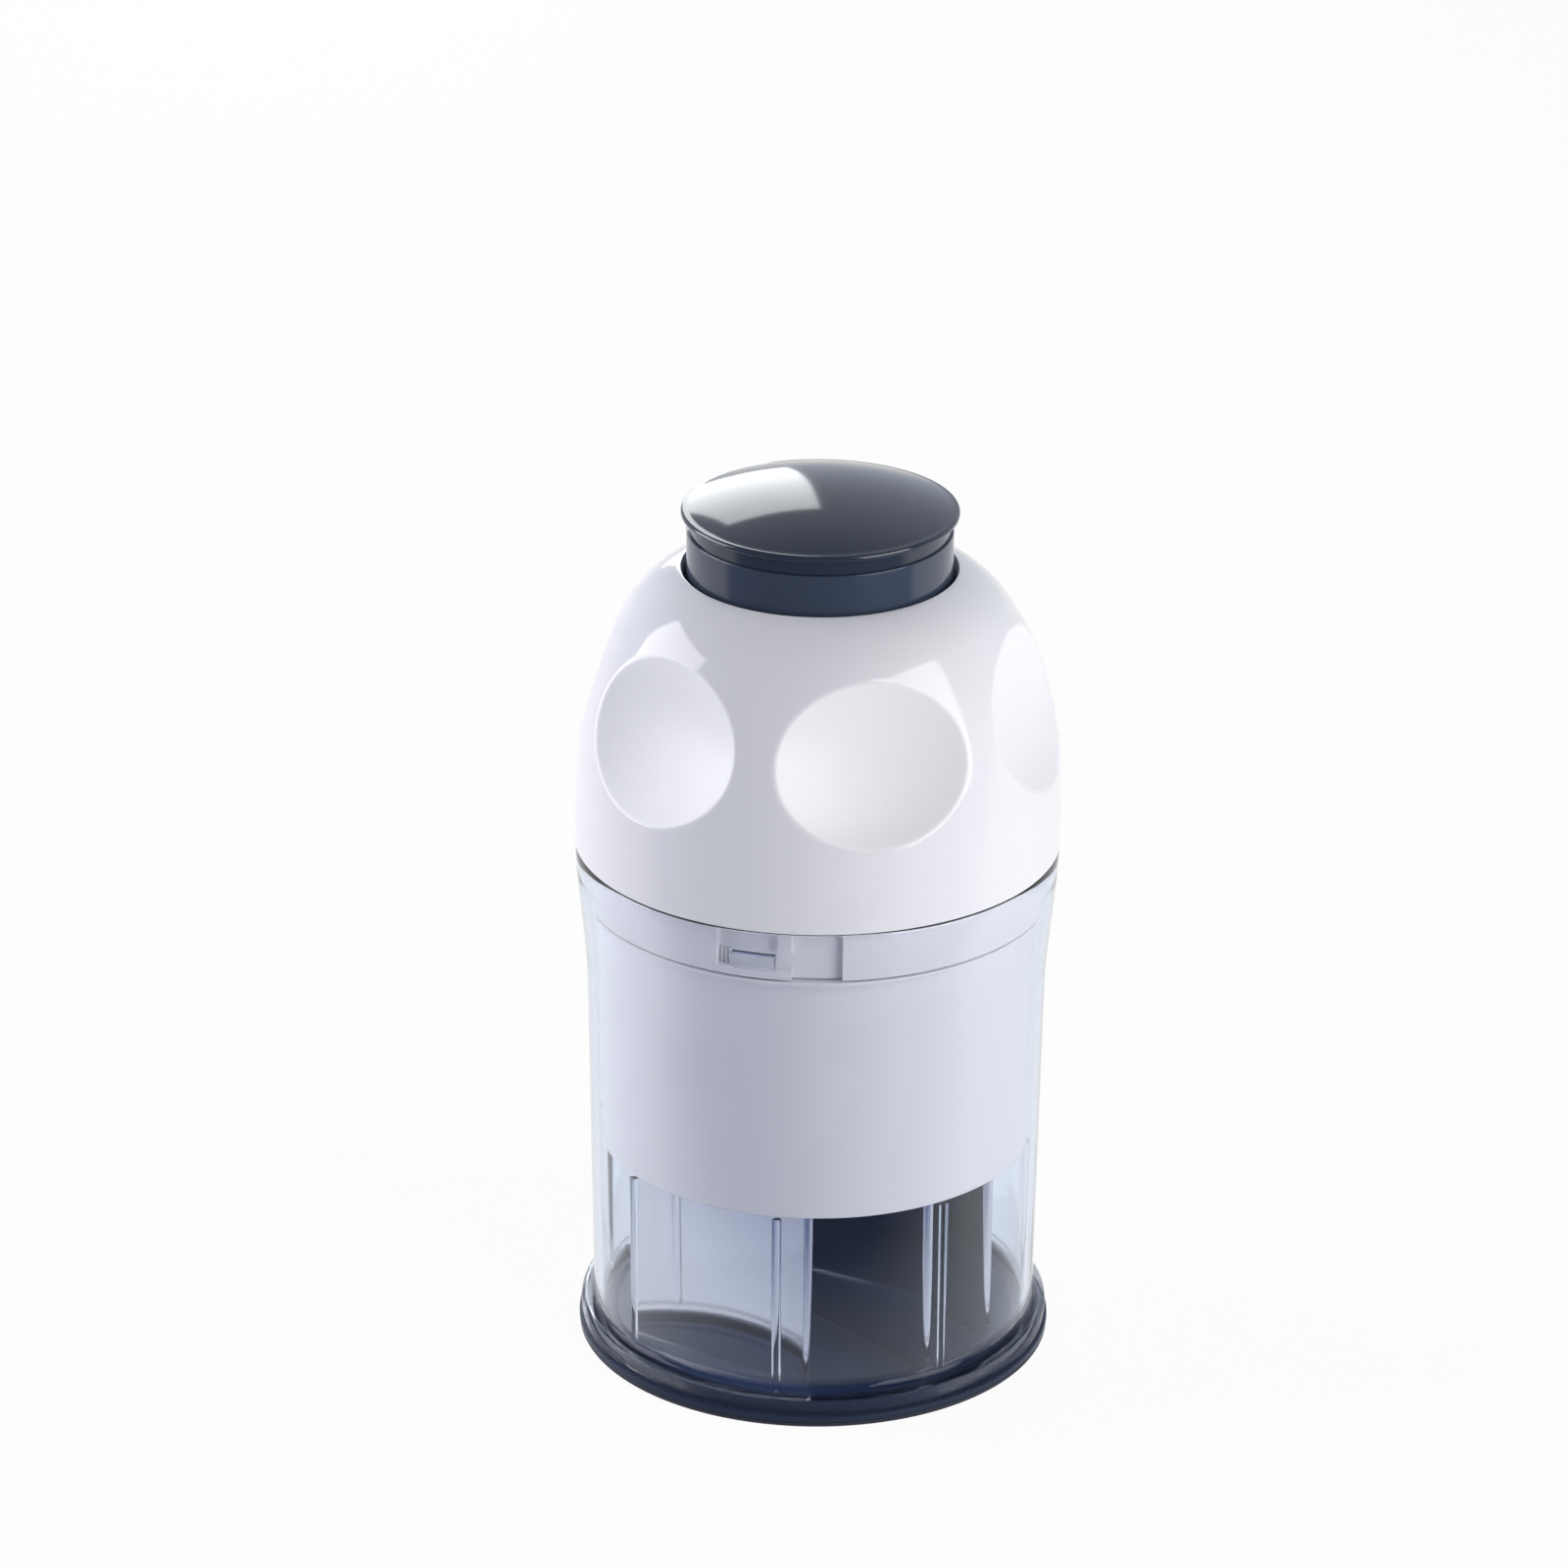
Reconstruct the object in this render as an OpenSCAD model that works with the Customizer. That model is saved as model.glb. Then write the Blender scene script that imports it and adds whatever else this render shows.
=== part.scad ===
// Plunger food chopper, shown with its knob pressed down and the blade on the base.
// Millimetres, +Z up, origin at the centre of the ring that it stands on.
// Azimuths are in degrees from the front (-Y), turning towards +X.

/* [Base] */
// How far the base and its anti-slip ring stand out past the cup's foot flange
base_margin = 0.5; // [0.3:0.1:2]
// Thickness of the anti-slip ring
grip_ring_h = 1; // [0.8:0.1:1.6]
// Radial width of the anti-slip ring
grip_ring_w = 7.8; // [5:0.1:9]
// Height of the base edge above the anti-slip ring
base_edge_h = 1.4; // [1.2:0.1:3]
// Height of the chopping floor above the base edge
floor_rise = 2.4; // [1.6:0.1:4]
// Thickness of the ring that centres the cup foot
locating_ring_t = 0.9; // [0.7:0.1:1]
// Thickness of the soft seal under the cup wall
seal_t = 0.6; // [0.4:0.1:0.8]

/* [Cup] */
// Height of the clear cup, from its foot to its rim
cup_h = 111.1; // [105:0.1:125]
// Outer radius of the cup rim, which the head, the blade and the base follow
cup_rim_r = 51; // [46:0.1:56]
// How far the rim stands out past the waist, where the flare starts
cup_flare_w = 2.3; // [1.8:0.1:3]
// How far the waist stands out past the foot of the wall
cup_draft_w = 1.2; // [0.8:0.1:1.6]
// Wall of the cup
cup_wall = 1.8; // [1.5:0.1:1.9]
// Height of the flared part of the cup, below the straight rim
flare_h = 23; // [18:0.5:30]
// Height of the straight rim band
rim_band_h = 4.8; // [4:0.1:7]
// How far the foot flange stands out past the foot of the wall
flange_w = 2.8; // [2.6:0.1:3.4]
// Height of the foot flange
flange_h = 4.1; // [3.8:0.1:6]
// Thickness of the flange's outer skirt
flange_skirt_t = 1.2; // [0.8:0.1:1.3]
// Number of half-round ribs inside the cup
rib_count = 8; // [4:1:12]
// Radius of the half-round ribs
rib_r = 0.95; // [0.7:0.05:1.1]
// Height of the ribs above the cup foot
rib_h = 43.9; // [40:0.1:48]
// Azimuth of the first rib
rib_azimuth = -9.5; // [-20:0.5:20]

/* [Bayonet] */
// Number of bayonet lugs
lug_count = 3; // [2:1:4]
// Angle that one lug covers
lug_angle = 11; // [8:0.5:12]
// Height of a lug
lug_h = 3.3; // [2.5:0.1:4]
// How far a lug stands into the collar's slot
lug_reach = 1.1; // [0.8:0.1:1.4]
// Azimuth of the middle of the first lug
lug_azimuth = -15.5; // [-18:0.5:-14]
// Turn of the head from locked to open
bayonet_turn = 15.7; // [15:0.1:17]
// Height of the collar's lower lip, which the lugs hold down
collar_lip_h = 1.8; // [1.4:0.1:2.4]
// Height of the bayonet collar
collar_h = 11; // [10.5:0.1:13]

/* [Blade guard] */
// Gap between the guard tube's lower edge and the cup wall
guard_gap = 0.64; // [0.5:0.02:1]
// Wall of the guard tube
guard_wall = 2.1; // [1.8:0.1:2.3]
// Thickness of the slotted wiper disc
wiper_t = 2.2; // [1.6:0.1:3]

/* [Housing] */
// Height of the housing, from its seam to the knob opening
housing_h = 61; // [60.5:0.1:62]
// How far the housing stands out past the cup rim
housing_overhang = 0.3; // [0.1:0.1:1]
// Wall of the housing
housing_wall = 2.6; // [2:0.1:2.8]
// Radius of the long lower curve of the housing
lower_curve_r = 200; // [180:5:260]
// Height of the lower curve, above the upright band at the seam
lower_curve_h = 20; // [18:0.5:22]
// Radius of the shoulder curve
shoulder_curve_r = 60; // [56:1:66]
// Height of the shoulder curve
shoulder_curve_h = 28; // [26:0.5:30]
// Radius of the top curve around the opening
top_curve_r = 24.4; // [23.8:0.1:26]
// Height of the top curve
top_curve_h = 9; // [8:0.1:9.4]
// Number of finger dimples
dimple_count = 6; // [4:1:6]
// Hollow radius of a dimple across, from side to side
dimple_across_r = 110; // [90:1:150]
// Hollow radius of a dimple up and down
dimple_upright_r = 41; // [38:0.5:44]
// Depth of a dimple's middle below the housing's skin
dimple_depth = 5.9; // [5.4:0.1:6.3]
// Azimuth of the first dimple
dimple_azimuth = 14.3; // [0:0.1:30]
// How far the dimples' centres lie below the opening
dimple_drop = 25.6; // [24:0.1:27]
// Number of screws that hold the guard and the deck to the housing
screw_count = 3; // [3:3:6]
// How far these screws stand in from the housing's skin at the seam
screw_inset = 13.8; // [12.8:0.1:15]

/* [Knob] */
// Gap between the knob's skirt and the bore of the opening
skirt_gap = 0.5; // [0.4:0.05:1]
// Wall of the skirt
skirt_wall = 1.8; // [1.4:0.1:2.4]
// Length of the skirt
skirt_l = 67.7; // [60:0.1:72]
// How far the cap's lip stands out past the skirt
cap_overhang = 1.2; // [0.6:0.1:2]
// Height of the plain neck under the cap's lip
cap_neck_h = 3.1; // [1.5:0.1:4]
// Thickness of the cap's lip
cap_lip_h = 1.5; // [1:0.1:2]
// Rise of the crown above the lip
crown_rise = 5; // [4:0.1:8]

/* [Plunger] */
// Radius of the plunger stem
stem_r = 6; // [5:0.1:6.4]
// Radius of the journal that the blade carrier turns on
journal_r = 3.2; // [2.8:0.1:3.6]
// Wire thickness of the return spring
spring_wire = 1.4; // [1:0.1:1.6]
// Mean radius of the return spring
spring_r = 11.4; // [11:0.1:12]
// Number of turns between the spring's closed ends
spring_turns = 10; // [7:1:11]

/* [Blade] */
// How far the blade stays inside the guard's bore
blade_clearance = 2.3; // [2:0.1:3.5]
// Thickness of the blade strip
blade_t = 0.8; // [0.6:0.1:1]
// Mean radius of a fold
fold_r = 0.9; // [0.8:0.1:2]
// How deep the blade stands in its carrier
blade_grip_h = 2.4; // [1.8:0.1:3]
// Azimuth of the middle fold
blade_azimuth = 36; // [0:0.5:90]
// Angle from the middle fold back to the strip's first end
first_end_angle = 101; // [95:0.5:112]
// Angle from the middle fold on to the strip's last end
last_end_angle = 104.5; // [95:0.5:112]
// Angle from the middle fold back to the fold before it on the same side
fold_before_angle = 38; // [32:0.5:42]
// Angle from the middle fold on to the next fold on the same side
fold_after_angle = 29; // [27:0.5:36]
// Angle from the middle fold to the folds on the far side
far_fold_angle = 164; // [155:0.5:168]
// Number of ratchet teeth
tooth_count = 12; // [8:1:16]
// Height of a ratchet tooth
tooth_h = 2.6; // [1.6:0.1:2.6]

/* [Hidden] */
$fn = 96;

// Clearances
rest_gap = 0.3;         // between flat faces of pieces that move apart
snug = 0.05;            // between pieces that are pushed together and stay so
run = 0.05;             // radial clearance of a shaft in its bearing
slide_gap = 0.25;       // beside a locating ring
wiper_gap = 0.4;        // between the blade and the wiper's slot
blade_gap = 0.4;        // between the blade and the chopping floor, and the teeth and the cam
skirt_run = 0.08;       // radial clearance of the skirt in its guide ring
collar_gap = 0.35;      // between the bayonet collar and the cup's rim
edge_round = 0.3;       // small roundings on moulded edges
past = 1;               // how far a cutting tool runs past what it cuts

// Heights, from the table up
base_under_z = grip_ring_h - 0.2;
edge_z = grip_ring_h + base_edge_h;
floor_z = edge_z + floor_rise;
cup_z = edge_z + rest_gap;
flange_top_z = cup_z + flange_h;
rib_top_z = cup_z + rib_h;
rim_z = cup_z + cup_h;
flare_top_z = rim_z - rim_band_h;
flare_z = flare_top_z - flare_h;
guard_z = rib_top_z + rest_gap;
collar_z = rim_z - collar_h;
collar_lip_z = collar_z + collar_lip_h;
lug_z = collar_lip_z + snug;
seam_z = rim_z + rest_gap;
opening_z = seam_z + housing_h;

// Base
grip_groove_r = 0.5;
grip_chamfer = 0.5;
drain_ring_r = 0.5;
drain_ring_gap = 1.8;

// Cup
cup_waist_r = cup_rim_r - cup_flare_w;
cup_foot_r = cup_waist_r - cup_draft_w;
flange_r = cup_foot_r + flange_w;
foot_r = flange_r + base_margin;
rib_sink = 0.35;        // how deep a rib's centre lies in the wall, at the foot
flange_fillet_h = 2;
flange_roof_t = 1.5;
groove_h = flange_h - flange_roof_t;
groove_w = flange_r - flange_skirt_t - cup_foot_r;
locating_ring_r = flange_r - flange_skirt_t - slide_gap;
function cup_outer_r(z) = z > flare_z
    ? min(cup_rim_r, cup_waist_r + (cup_rim_r - cup_waist_r) * (z - flare_z) / flare_h)
    : cup_foot_r + (cup_waist_r - cup_foot_r) * (z - cup_z) / (flare_z - cup_z);
collar_r = cup_outer_r(collar_z) - cup_wall - collar_gap;
lug_r = collar_r - lug_reach;
slot_play = 0.6;        // between a lug and the slot's floor and roof
lug_play_angle = 0.7;   // beside a lug in its slot
rest_pocket_extra = 3.8;
collar_brim_h = 0.8;
detent_count = 3;
detent_angle = 0.5;
detent_pitch = 1.1;
detent_clear = 0.15;
slot_floor_r = lug_r - slot_play;

// Housing
housing_r = cup_rim_r + housing_overhang;
curves_z = opening_z - top_curve_h - shoulder_curve_h - lower_curve_h;
lower_c = [housing_r - lower_curve_r, curves_z];
lower_a = asin(lower_curve_h / lower_curve_r);
shoulder_c = lower_c + (lower_curve_r - shoulder_curve_r) * [cos(lower_a), sin(lower_a)];
shoulder_a = asin((opening_z - top_curve_h - shoulder_c.y) / shoulder_curve_r);
top_c = shoulder_c + (shoulder_curve_r - top_curve_r) * [cos(shoulder_a), sin(shoulder_a)];
dimple_tilt = 16.2;
dimple_inset = 3.6;     // from the skin at the seam to the skin at the dimples
dimple_wall = 2.2;
opening_land_w = 0.35;  // of the skin's top edge, round the bore
opening_ease_h = 2.4;
opening_ease_w = 0.8;
guide_tube_r = top_c.x + sqrt(pow(top_curve_r, 2) - pow(opening_z - top_c.y, 2)) - opening_land_w;
guide_tube_wall = 2;
guide_tube_l = 34;
skirt_r = guide_tube_r - skirt_gap;
skirt_guide_h = 4;

// Guard, wiper and deck
guard_r = cup_outer_r(guard_z) - cup_wall - guard_gap;
guard_bore_r = guard_r - guard_wall;
guard_lip_h = 1;
guard_lip_w = 1.1;
wiper_z = guard_z + guard_lip_h + rest_gap;
wiper_edge_gap = 0.4;
wiper_r = guard_bore_r - wiper_edge_gap;
snap_h = 1.4;
snap_w = 0.9;
snap_count = 6;
snap_angle = 6;
flange_plate_t = 2.5;
flange_plate_bore_r = skirt_r + 2.3;
flange_plate_rise = 5.7;
flange_plate_z = collar_z + flange_plate_rise;
spigot_h = 5;
spigot_wall = 2;
spigot_r = housing_r - housing_wall - slide_gap;
screw_circle_r = housing_r - screw_inset;
ratchet_r = 19;
ratchet_bore_r = 14;
deck_t = 2.9;
deck_z = flange_plate_z - snug - deck_t;
deck_r = guard_bore_r - slide_gap;
deck_hub_r = ratchet_r + 2;
deck_hub_h = 6.5;
deck_hub_z = deck_z + deck_hub_h;
deck_rib_count = 12;
rib_t = 1.6;            // ribs of the deck and of the blade carrier
rib_drop = 0.6;
bumper_wall_r = skirt_r + 0.7;
bumper_wall_t = 3.4;
bumper_h = 3.3;
bumper_groove_r = 0.6;
bush_wall = 1.5;
bush_flange_t = 1;
bush_flange_w = 1.4;
tower_wall = 1.8;
tower_h = 5.6;
bush_r = stem_r + run + bush_wall;
tower_r = bush_r + snug + tower_wall;
spring_seat_t = 0.8;
spring_seat_w = 3.8;
spring_seat_gap = 0.2;
spring_seat_r = tower_r + spring_seat_gap;
spring_z = deck_hub_z + snug + spring_seat_t;

// Knob and plunger
skirt_z = deck_hub_z + bumper_h + rest_gap;
skirt_top_z = skirt_z + skirt_l;
skirt_plate_t = 2.5;
skirt_plate_drop = 9.5;
skirt_plate_z = skirt_top_z - skirt_plate_drop;
cap_plug_h = 6;
cap_plug_wall = 1.8;
cap_shell_t = 2;
cap_z = skirt_top_z + snug;
cap_lip_z = cap_z + cap_neck_h;
cap_r = skirt_r + cap_overhang;
neck_inset = 0.5;       // of the cap's neck from the skirt's face
crown_inset = 0.9;      // of the crown from the lip's edge
stem_boss_wall = 3.2;
stem_boss_h = 8.5;
stem_top_z = skirt_plate_z - snug;

// Blade and its carrier
blade_r = guard_bore_r - blade_clearance;
blade_z = floor_z + blade_gap;
blade_bevel_h = 1.6;
blade_edge_t = 0.15;
carrier_gap = 1.2;      // between the wiper disc and the carrier
carrier_z = wiper_z + wiper_t + carrier_gap;
blade_h = carrier_z + blade_grip_h - blade_z;
carrier_groove_h = blade_grip_h + snug;
carrier_roof_t = 1.6;
carrier_t = carrier_groove_h + carrier_roof_t;
carrier_margin = 0.7;
carrier_r = blade_r + carrier_margin;
carrier_hub_r = ratchet_r + 1;
carrier_hub_h = 6.4;
carrier_hub_z = carrier_z + carrier_hub_h;
carrier_rib_count = 8;
ratchet_base_t = 1.4;
tooth_share = 0.96;     // of a tooth's pitch that slopes
ratchet_tip_z = carrier_hub_z + ratchet_base_t + tooth_h;
carrier_boss_r = 9;
carrier_boss_z = ratchet_tip_z;
hub_recess_r = 4.8;
hub_recess_h = 2.2;
washer_t = 0.8;
hub_washer_z = carrier_z + hub_recess_h - washer_t - snug;
stem_shoulder_z = carrier_boss_z + washer_t + 2 * snug;
cam_ring_t = 3.6;
cam_drop = 1.15;        // how far the cam's teeth reach below the deck
cam_tip_z = deck_z - cam_drop;
stroke = cam_tip_z - blade_gap - ratchet_tip_z;
echo(stroke = stroke);

// Screws
screw_r = 1.5;
screw_head_r = 2.9;
screw_head_h = 1.9;
boss_r = 3.4;
screw_l = 12;
screw_slot_w = 0.6;
screw_slot_l = 1.1;     // as a share of the head's radius
washer_gap = 0.1;

module at_azimuth(a) {
    rotate(a - 90) children();
}

module tube(r_out, r_in, z, h) {
    translate([0, 0, z])
    difference() {
        cylinder(r = r_out, h = h);
        translate([0, 0, -past]) cylinder(r = r_in, h = h + 2 * past);
    }
}

// A block bent round the axis, from azimuth a by the angle sweep
module ring_block(r_in, r_out, z, h, a, sweep) {
    at_azimuth(a)
    rotate_extrude(angle = sweep)
    translate([r_in, z])
    square([r_out - r_in, h]);
}

// ---------- base ----------

module base_dish() {
    color("#3d4552")
    rotate_extrude()
    difference() {
        union() {
            translate([0, base_under_z]) square([foot_r - grip_ring_w - snug, edge_z - base_under_z]);
            translate([0, grip_ring_h]) square([foot_r - edge_round, base_edge_h]);
            translate([0, grip_ring_h + edge_round]) square([foot_r, base_edge_h - 2 * edge_round]);
            translate([foot_r - edge_round, edge_z - edge_round]) circle(r = edge_round);
            translate([foot_r - edge_round, grip_ring_h + edge_round]) circle(r = edge_round);
            // the ring inside the cup's foot groove
            translate([locating_ring_r - locating_ring_t, edge_z - past])
                square([locating_ring_t, cup_z + groove_h - rest_gap - edge_z + past]);
            // the chopping floor
            translate([0, edge_z - past])
                square([cup_foot_r - cup_wall - slide_gap - edge_round, floor_rise + past]);
            translate([0, edge_z - past])
                square([cup_foot_r - cup_wall - slide_gap, floor_rise + past - edge_round]);
            translate([cup_foot_r - cup_wall - slide_gap - edge_round, floor_z - edge_round])
                circle(r = edge_round);
        }
        // groove for the seal
        translate([cup_foot_r - cup_wall, edge_z - seal_t - snug])
            square([cup_wall, seal_t + snug + past]);
        // shallow drain ring in the floor
        translate([blade_r + drain_ring_gap, floor_z]) circle(r = drain_ring_r);
    }
}

module antislip_ring() {
    color("#2b3039")
    rotate_extrude()
    difference() {
        translate([foot_r - grip_ring_w, 0]) square([grip_ring_w, grip_ring_h]);
        // chamfer on the outer lower edge
        polygon([[foot_r - grip_chamfer, 0], [foot_r, grip_chamfer], [foot_r + past, grip_chamfer],
            [foot_r + past, -past], [foot_r - grip_chamfer, -past]]);
        // groove underneath, for suction and grip
        translate([foot_r - grip_ring_w / 2, 0]) circle(r = grip_groove_r);
    }
}

module base_seal() {
    color("#8b9096")
    tube(cup_foot_r - snug, cup_foot_r - cup_wall + snug, edge_z - seal_t, seal_t - snug);
}

// ---------- clear cup ----------

module cup_section() {
    difference() {
        union() {
            polygon([[0, cup_z], [cup_foot_r, cup_z], [cup_waist_r, flare_z],
                [cup_rim_r, flare_top_z], [cup_rim_r, rim_z], [0, rim_z]]);
            // foot flange with a rounded shoulder
            translate([0, cup_z]) square([flange_r, flange_h - flange_skirt_t]);
            translate([0, cup_z]) square([flange_r - flange_skirt_t, flange_h]);
            translate([flange_r - flange_skirt_t, flange_top_z - flange_skirt_t])
                circle(r = flange_skirt_t);
            // concave fillet between flange and wall
            translate([cup_foot_r - past, flange_top_z - past])
            difference() {
                square(flange_fillet_h + past);
                translate([flange_fillet_h + past, flange_fillet_h + past]) circle(r = flange_fillet_h);
            }
        }
        polygon([[0, cup_z - past], [cup_foot_r - cup_wall, cup_z - past],
            [cup_foot_r - cup_wall, cup_z],
            [cup_waist_r - cup_wall, flare_z], [cup_rim_r - cup_wall, flare_top_z],
            [cup_rim_r - cup_wall, rim_z + past], [0, rim_z + past]]);
        // groove under the flange
        translate([cup_foot_r, cup_z - past]) square([groove_w, groove_h + past]);
    }
}

module container() {
    color([0.80, 0.90, 0.90, 0.45]) {
        rotate_extrude() cup_section();
        // half-round ribs, which stiffen the wall and carry the blade guard's edge
        for (i = [0 : rib_count - 1])
            at_azimuth(rib_azimuth + i * 360 / rib_count)
            translate([cup_foot_r - cup_wall + rib_sink, 0, floor_z + rest_gap])
            cylinder(r = rib_r, h = rib_top_z - floor_z - rest_gap);
        // bayonet lugs
        for (i = [0 : lug_count - 1])
            ring_block(lug_r, cup_outer_r(lug_z) - cup_wall / 2, lug_z, lug_h,
                lug_azimuth - lug_angle / 2 + i * 360 / lug_count, lug_angle);
    }
}

// ---------- head: guard ----------

// One slot: an entry open below, a run over the lip and a deeper rest pocket. It is one cut,
// less the lip below the run and the web above it.
module bayonet_slot(i) {
    locked_a = lug_azimuth + i * 360 / lug_count;
    rest_start = locked_a - lug_angle / 2 - rest_pocket_extra;
    rest_end = locked_a + lug_angle / 2 + lug_play_angle;
    entry_start = locked_a + bayonet_turn - lug_angle / 2 - lug_play_angle;
    entry_end = locked_a + bayonet_turn + lug_angle / 2 + lug_play_angle;
    slot_top_z = rim_z - collar_brim_h;
    difference() {
        ring_block(slot_floor_r, collar_r + past, collar_z - past, slot_top_z - collar_z + past,
            rest_start, entry_end - rest_start);
        ring_block(slot_floor_r - past, collar_r + 2 * past, collar_z - 2 * past,
            collar_lip_h + 2 * past, rest_start - past, entry_start - rest_start + past);
        ring_block(slot_floor_r - past, collar_r + 2 * past, lug_z + lug_h + slot_play,
            collar_h, rest_end, entry_start - rest_end);
    }
}

module blade_guard() {
    color("#f2f4f8")
    difference() {
        union() {
            rotate_extrude()
            difference() {
                union() {
                    translate([0, guard_z]) square([guard_r, collar_z - guard_z + past]);
                    translate([0, collar_z]) square([collar_r, collar_h]);
                    translate([0, rim_z - past])
                        square([spigot_r, spigot_h + past]);
                }
                // bore below the plate
                translate([0, guard_z + guard_lip_h])
                    square([guard_bore_r, flange_plate_z - guard_z - guard_lip_h]);
                translate([0, guard_z - past])
                    square([guard_bore_r - guard_lip_w, guard_lip_h + 2 * past]);
                // bore above the plate
                translate([0, flange_plate_z + flange_plate_t])
                    square([spigot_r - spigot_wall, collar_h + spigot_h]);
                translate([0, flange_plate_z - past])
                    square([flange_plate_bore_r, collar_h + spigot_h]);
            }
            // snaps above the wiper disc
            for (i = [0 : snap_count - 1])
                ring_block(guard_bore_r - snap_w, guard_bore_r + past / 2,
                    wiper_z + wiper_t + rest_gap, snap_h, i * 360 / snap_count, snap_angle);
        }
        for (i = [0 : lug_count - 1]) bayonet_slot(i);
        for_each_screw()
            translate([0, 0, flange_plate_z - past])
            cylinder(r = screw_r + slide_gap, h = flange_plate_t + 2 * past);
    }
    // fine detent ribs on the floor of each rest pocket
    color("#f2f4f8")
    for (i = [0 : lug_count - 1], k = [0 : detent_count - 1])
        ring_block(slot_floor_r - past / 2, lug_r - detent_clear, collar_lip_z - past / 2,
            lug_h + past / 2, lug_azimuth - lug_angle / 2 - rest_pocket_extra + detent_angle
            + k * detent_pitch + i * 360 / lug_count, detent_angle);
}

module for_each_screw() {
    for (i = [0 : screw_count - 1])
        at_azimuth(dimple_azimuth - 180 / dimple_count + i * 360 / screw_count)
        translate([screw_circle_r, 0, 0])
        children();
}

module wiper_disc() {
    color("#eef0f4")
    difference() {
        translate([0, 0, wiper_z]) cylinder(r = wiper_r, h = wiper_t);
        blade_channel(wiper_z - past, wiper_t + 2 * past, wiper_gap);
    }
}

// ---------- head: deck ----------

module guide_deck() {
    color("#dfe3ea")
    difference() {
        union() {
            translate([0, 0, deck_z]) cylinder(r = deck_r, h = deck_t);
            translate([0, 0, deck_z]) cylinder(r = deck_hub_r, h = deck_hub_h);
            translate([0, 0, deck_z]) cylinder(r = tower_r, h = deck_hub_h + tower_h);
            tube(bumper_wall_r, bumper_wall_r - bumper_wall_t, deck_z, deck_hub_h);
            // ribs between the hub and the bumper wall
            for (i = [0 : deck_rib_count - 1])
                rotate(i * 360 / deck_rib_count)
                translate([deck_hub_r - past, -rib_t / 2, deck_z])
                cube([bumper_wall_r - bumper_wall_t / 2 - deck_hub_r + past, rib_t,
                    deck_hub_h - rib_drop]);
        }
        translate([0, 0, deck_z - past]) cylinder(r = bush_r + snug, h = 2 * deck_hub_h + tower_h);
        // pocket for the cam ring
        tube(ratchet_r + snug, ratchet_bore_r - snug, deck_z - past,
            cam_tip_z + cam_ring_t + snug - deck_z + past);
        // counterbore for the bush's flange
        translate([0, 0, deck_z - past])
            cylinder(r = bush_r + bush_flange_w + snug, h = bush_flange_t + snug + past);
        for_each_screw()
            translate([0, 0, deck_z - past])
            cylinder(r = screw_r + slide_gap, h = deck_t + 2 * past);
    }
}

module guide_bush() {
    color("#caa85a")
    difference() {
        union() {
            translate([0, 0, deck_z]) cylinder(r = bush_r, h = deck_hub_h + tower_h);
            translate([0, 0, deck_z]) cylinder(r = bush_r + bush_flange_w, h = bush_flange_t);
        }
        translate([0, 0, deck_z - past])
            cylinder(r = stem_r + run, h = deck_hub_h + tower_h + 2 * past);
    }
}

module screw(z, r, l, head_r, head_h) {
    // pan head below, shank above, with a cross recess in the head
    difference() {
        union() {
            translate([0, 0, z - head_h]) cylinder(r = head_r, h = head_h);
            translate([0, 0, z - past / 2]) cylinder(r = r, h = l + past / 2);
        }
        for (a = [0, 90])
            rotate(a)
            translate([-head_r * screw_slot_l / 2, -screw_slot_w / 2, z - head_h - past])
            cube([head_r * screw_slot_l, screw_slot_w, head_h / 2 + past]);
    }
}

module deck_screws() {
    color("silver")
    for_each_screw() screw(deck_z - snug, screw_r, screw_l, screw_head_r, screw_head_h);
}

// Saw teeth cut down into a ring from its top face at z = top
module tooth_gaps(top) {
    gap_w = 2 * PI * ratchet_bore_r / tooth_count * tooth_share;
    for (i = [0 : tooth_count - 1])
        rotate(i * 360 / tooth_count)
        translate([ratchet_bore_r - past, 0, top])
        rotate([90, 0, 90])
        linear_extrude(ratchet_r - ratchet_bore_r + 2 * past)
        polygon([[0, -tooth_h], [gap_w, 0], [gap_w, past], [0, past]]);
}

module index_ratchet() {
    color("#c9ced8")
    difference() {
        tube(ratchet_r, ratchet_bore_r, carrier_hub_z + snug, ratchet_base_t + tooth_h - snug);
        tooth_gaps(ratchet_tip_z);
    }
}

module cam_ring() {
    color("#c9ced8")
    translate([0, 0, cam_tip_z])
    mirror([0, 0, 1])
    difference() {
        tube(ratchet_r, ratchet_bore_r, -cam_ring_t, cam_ring_t);
        tooth_gaps(0);
    }
}

module spring_seat() {
    color("silver")
    tube(spring_seat_r + spring_seat_w, spring_seat_r, deck_hub_z + snug, spring_seat_t);
}

module stop_bumper() {
    color("#2b3039")
    rotate_extrude()
    translate([bumper_wall_r - bumper_wall_t, deck_hub_z])
    difference() {
        square([bumper_wall_t, bumper_h]);
        translate([bumper_wall_t / 2, bumper_h]) circle(r = bumper_groove_r);
    }
}

// ---------- head: housing ----------

// Keeps what lies on the right of the axis
module right_half() {
    intersection() {
        children();
        translate([0, -past]) square(2 * opening_z);
    }
}

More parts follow.
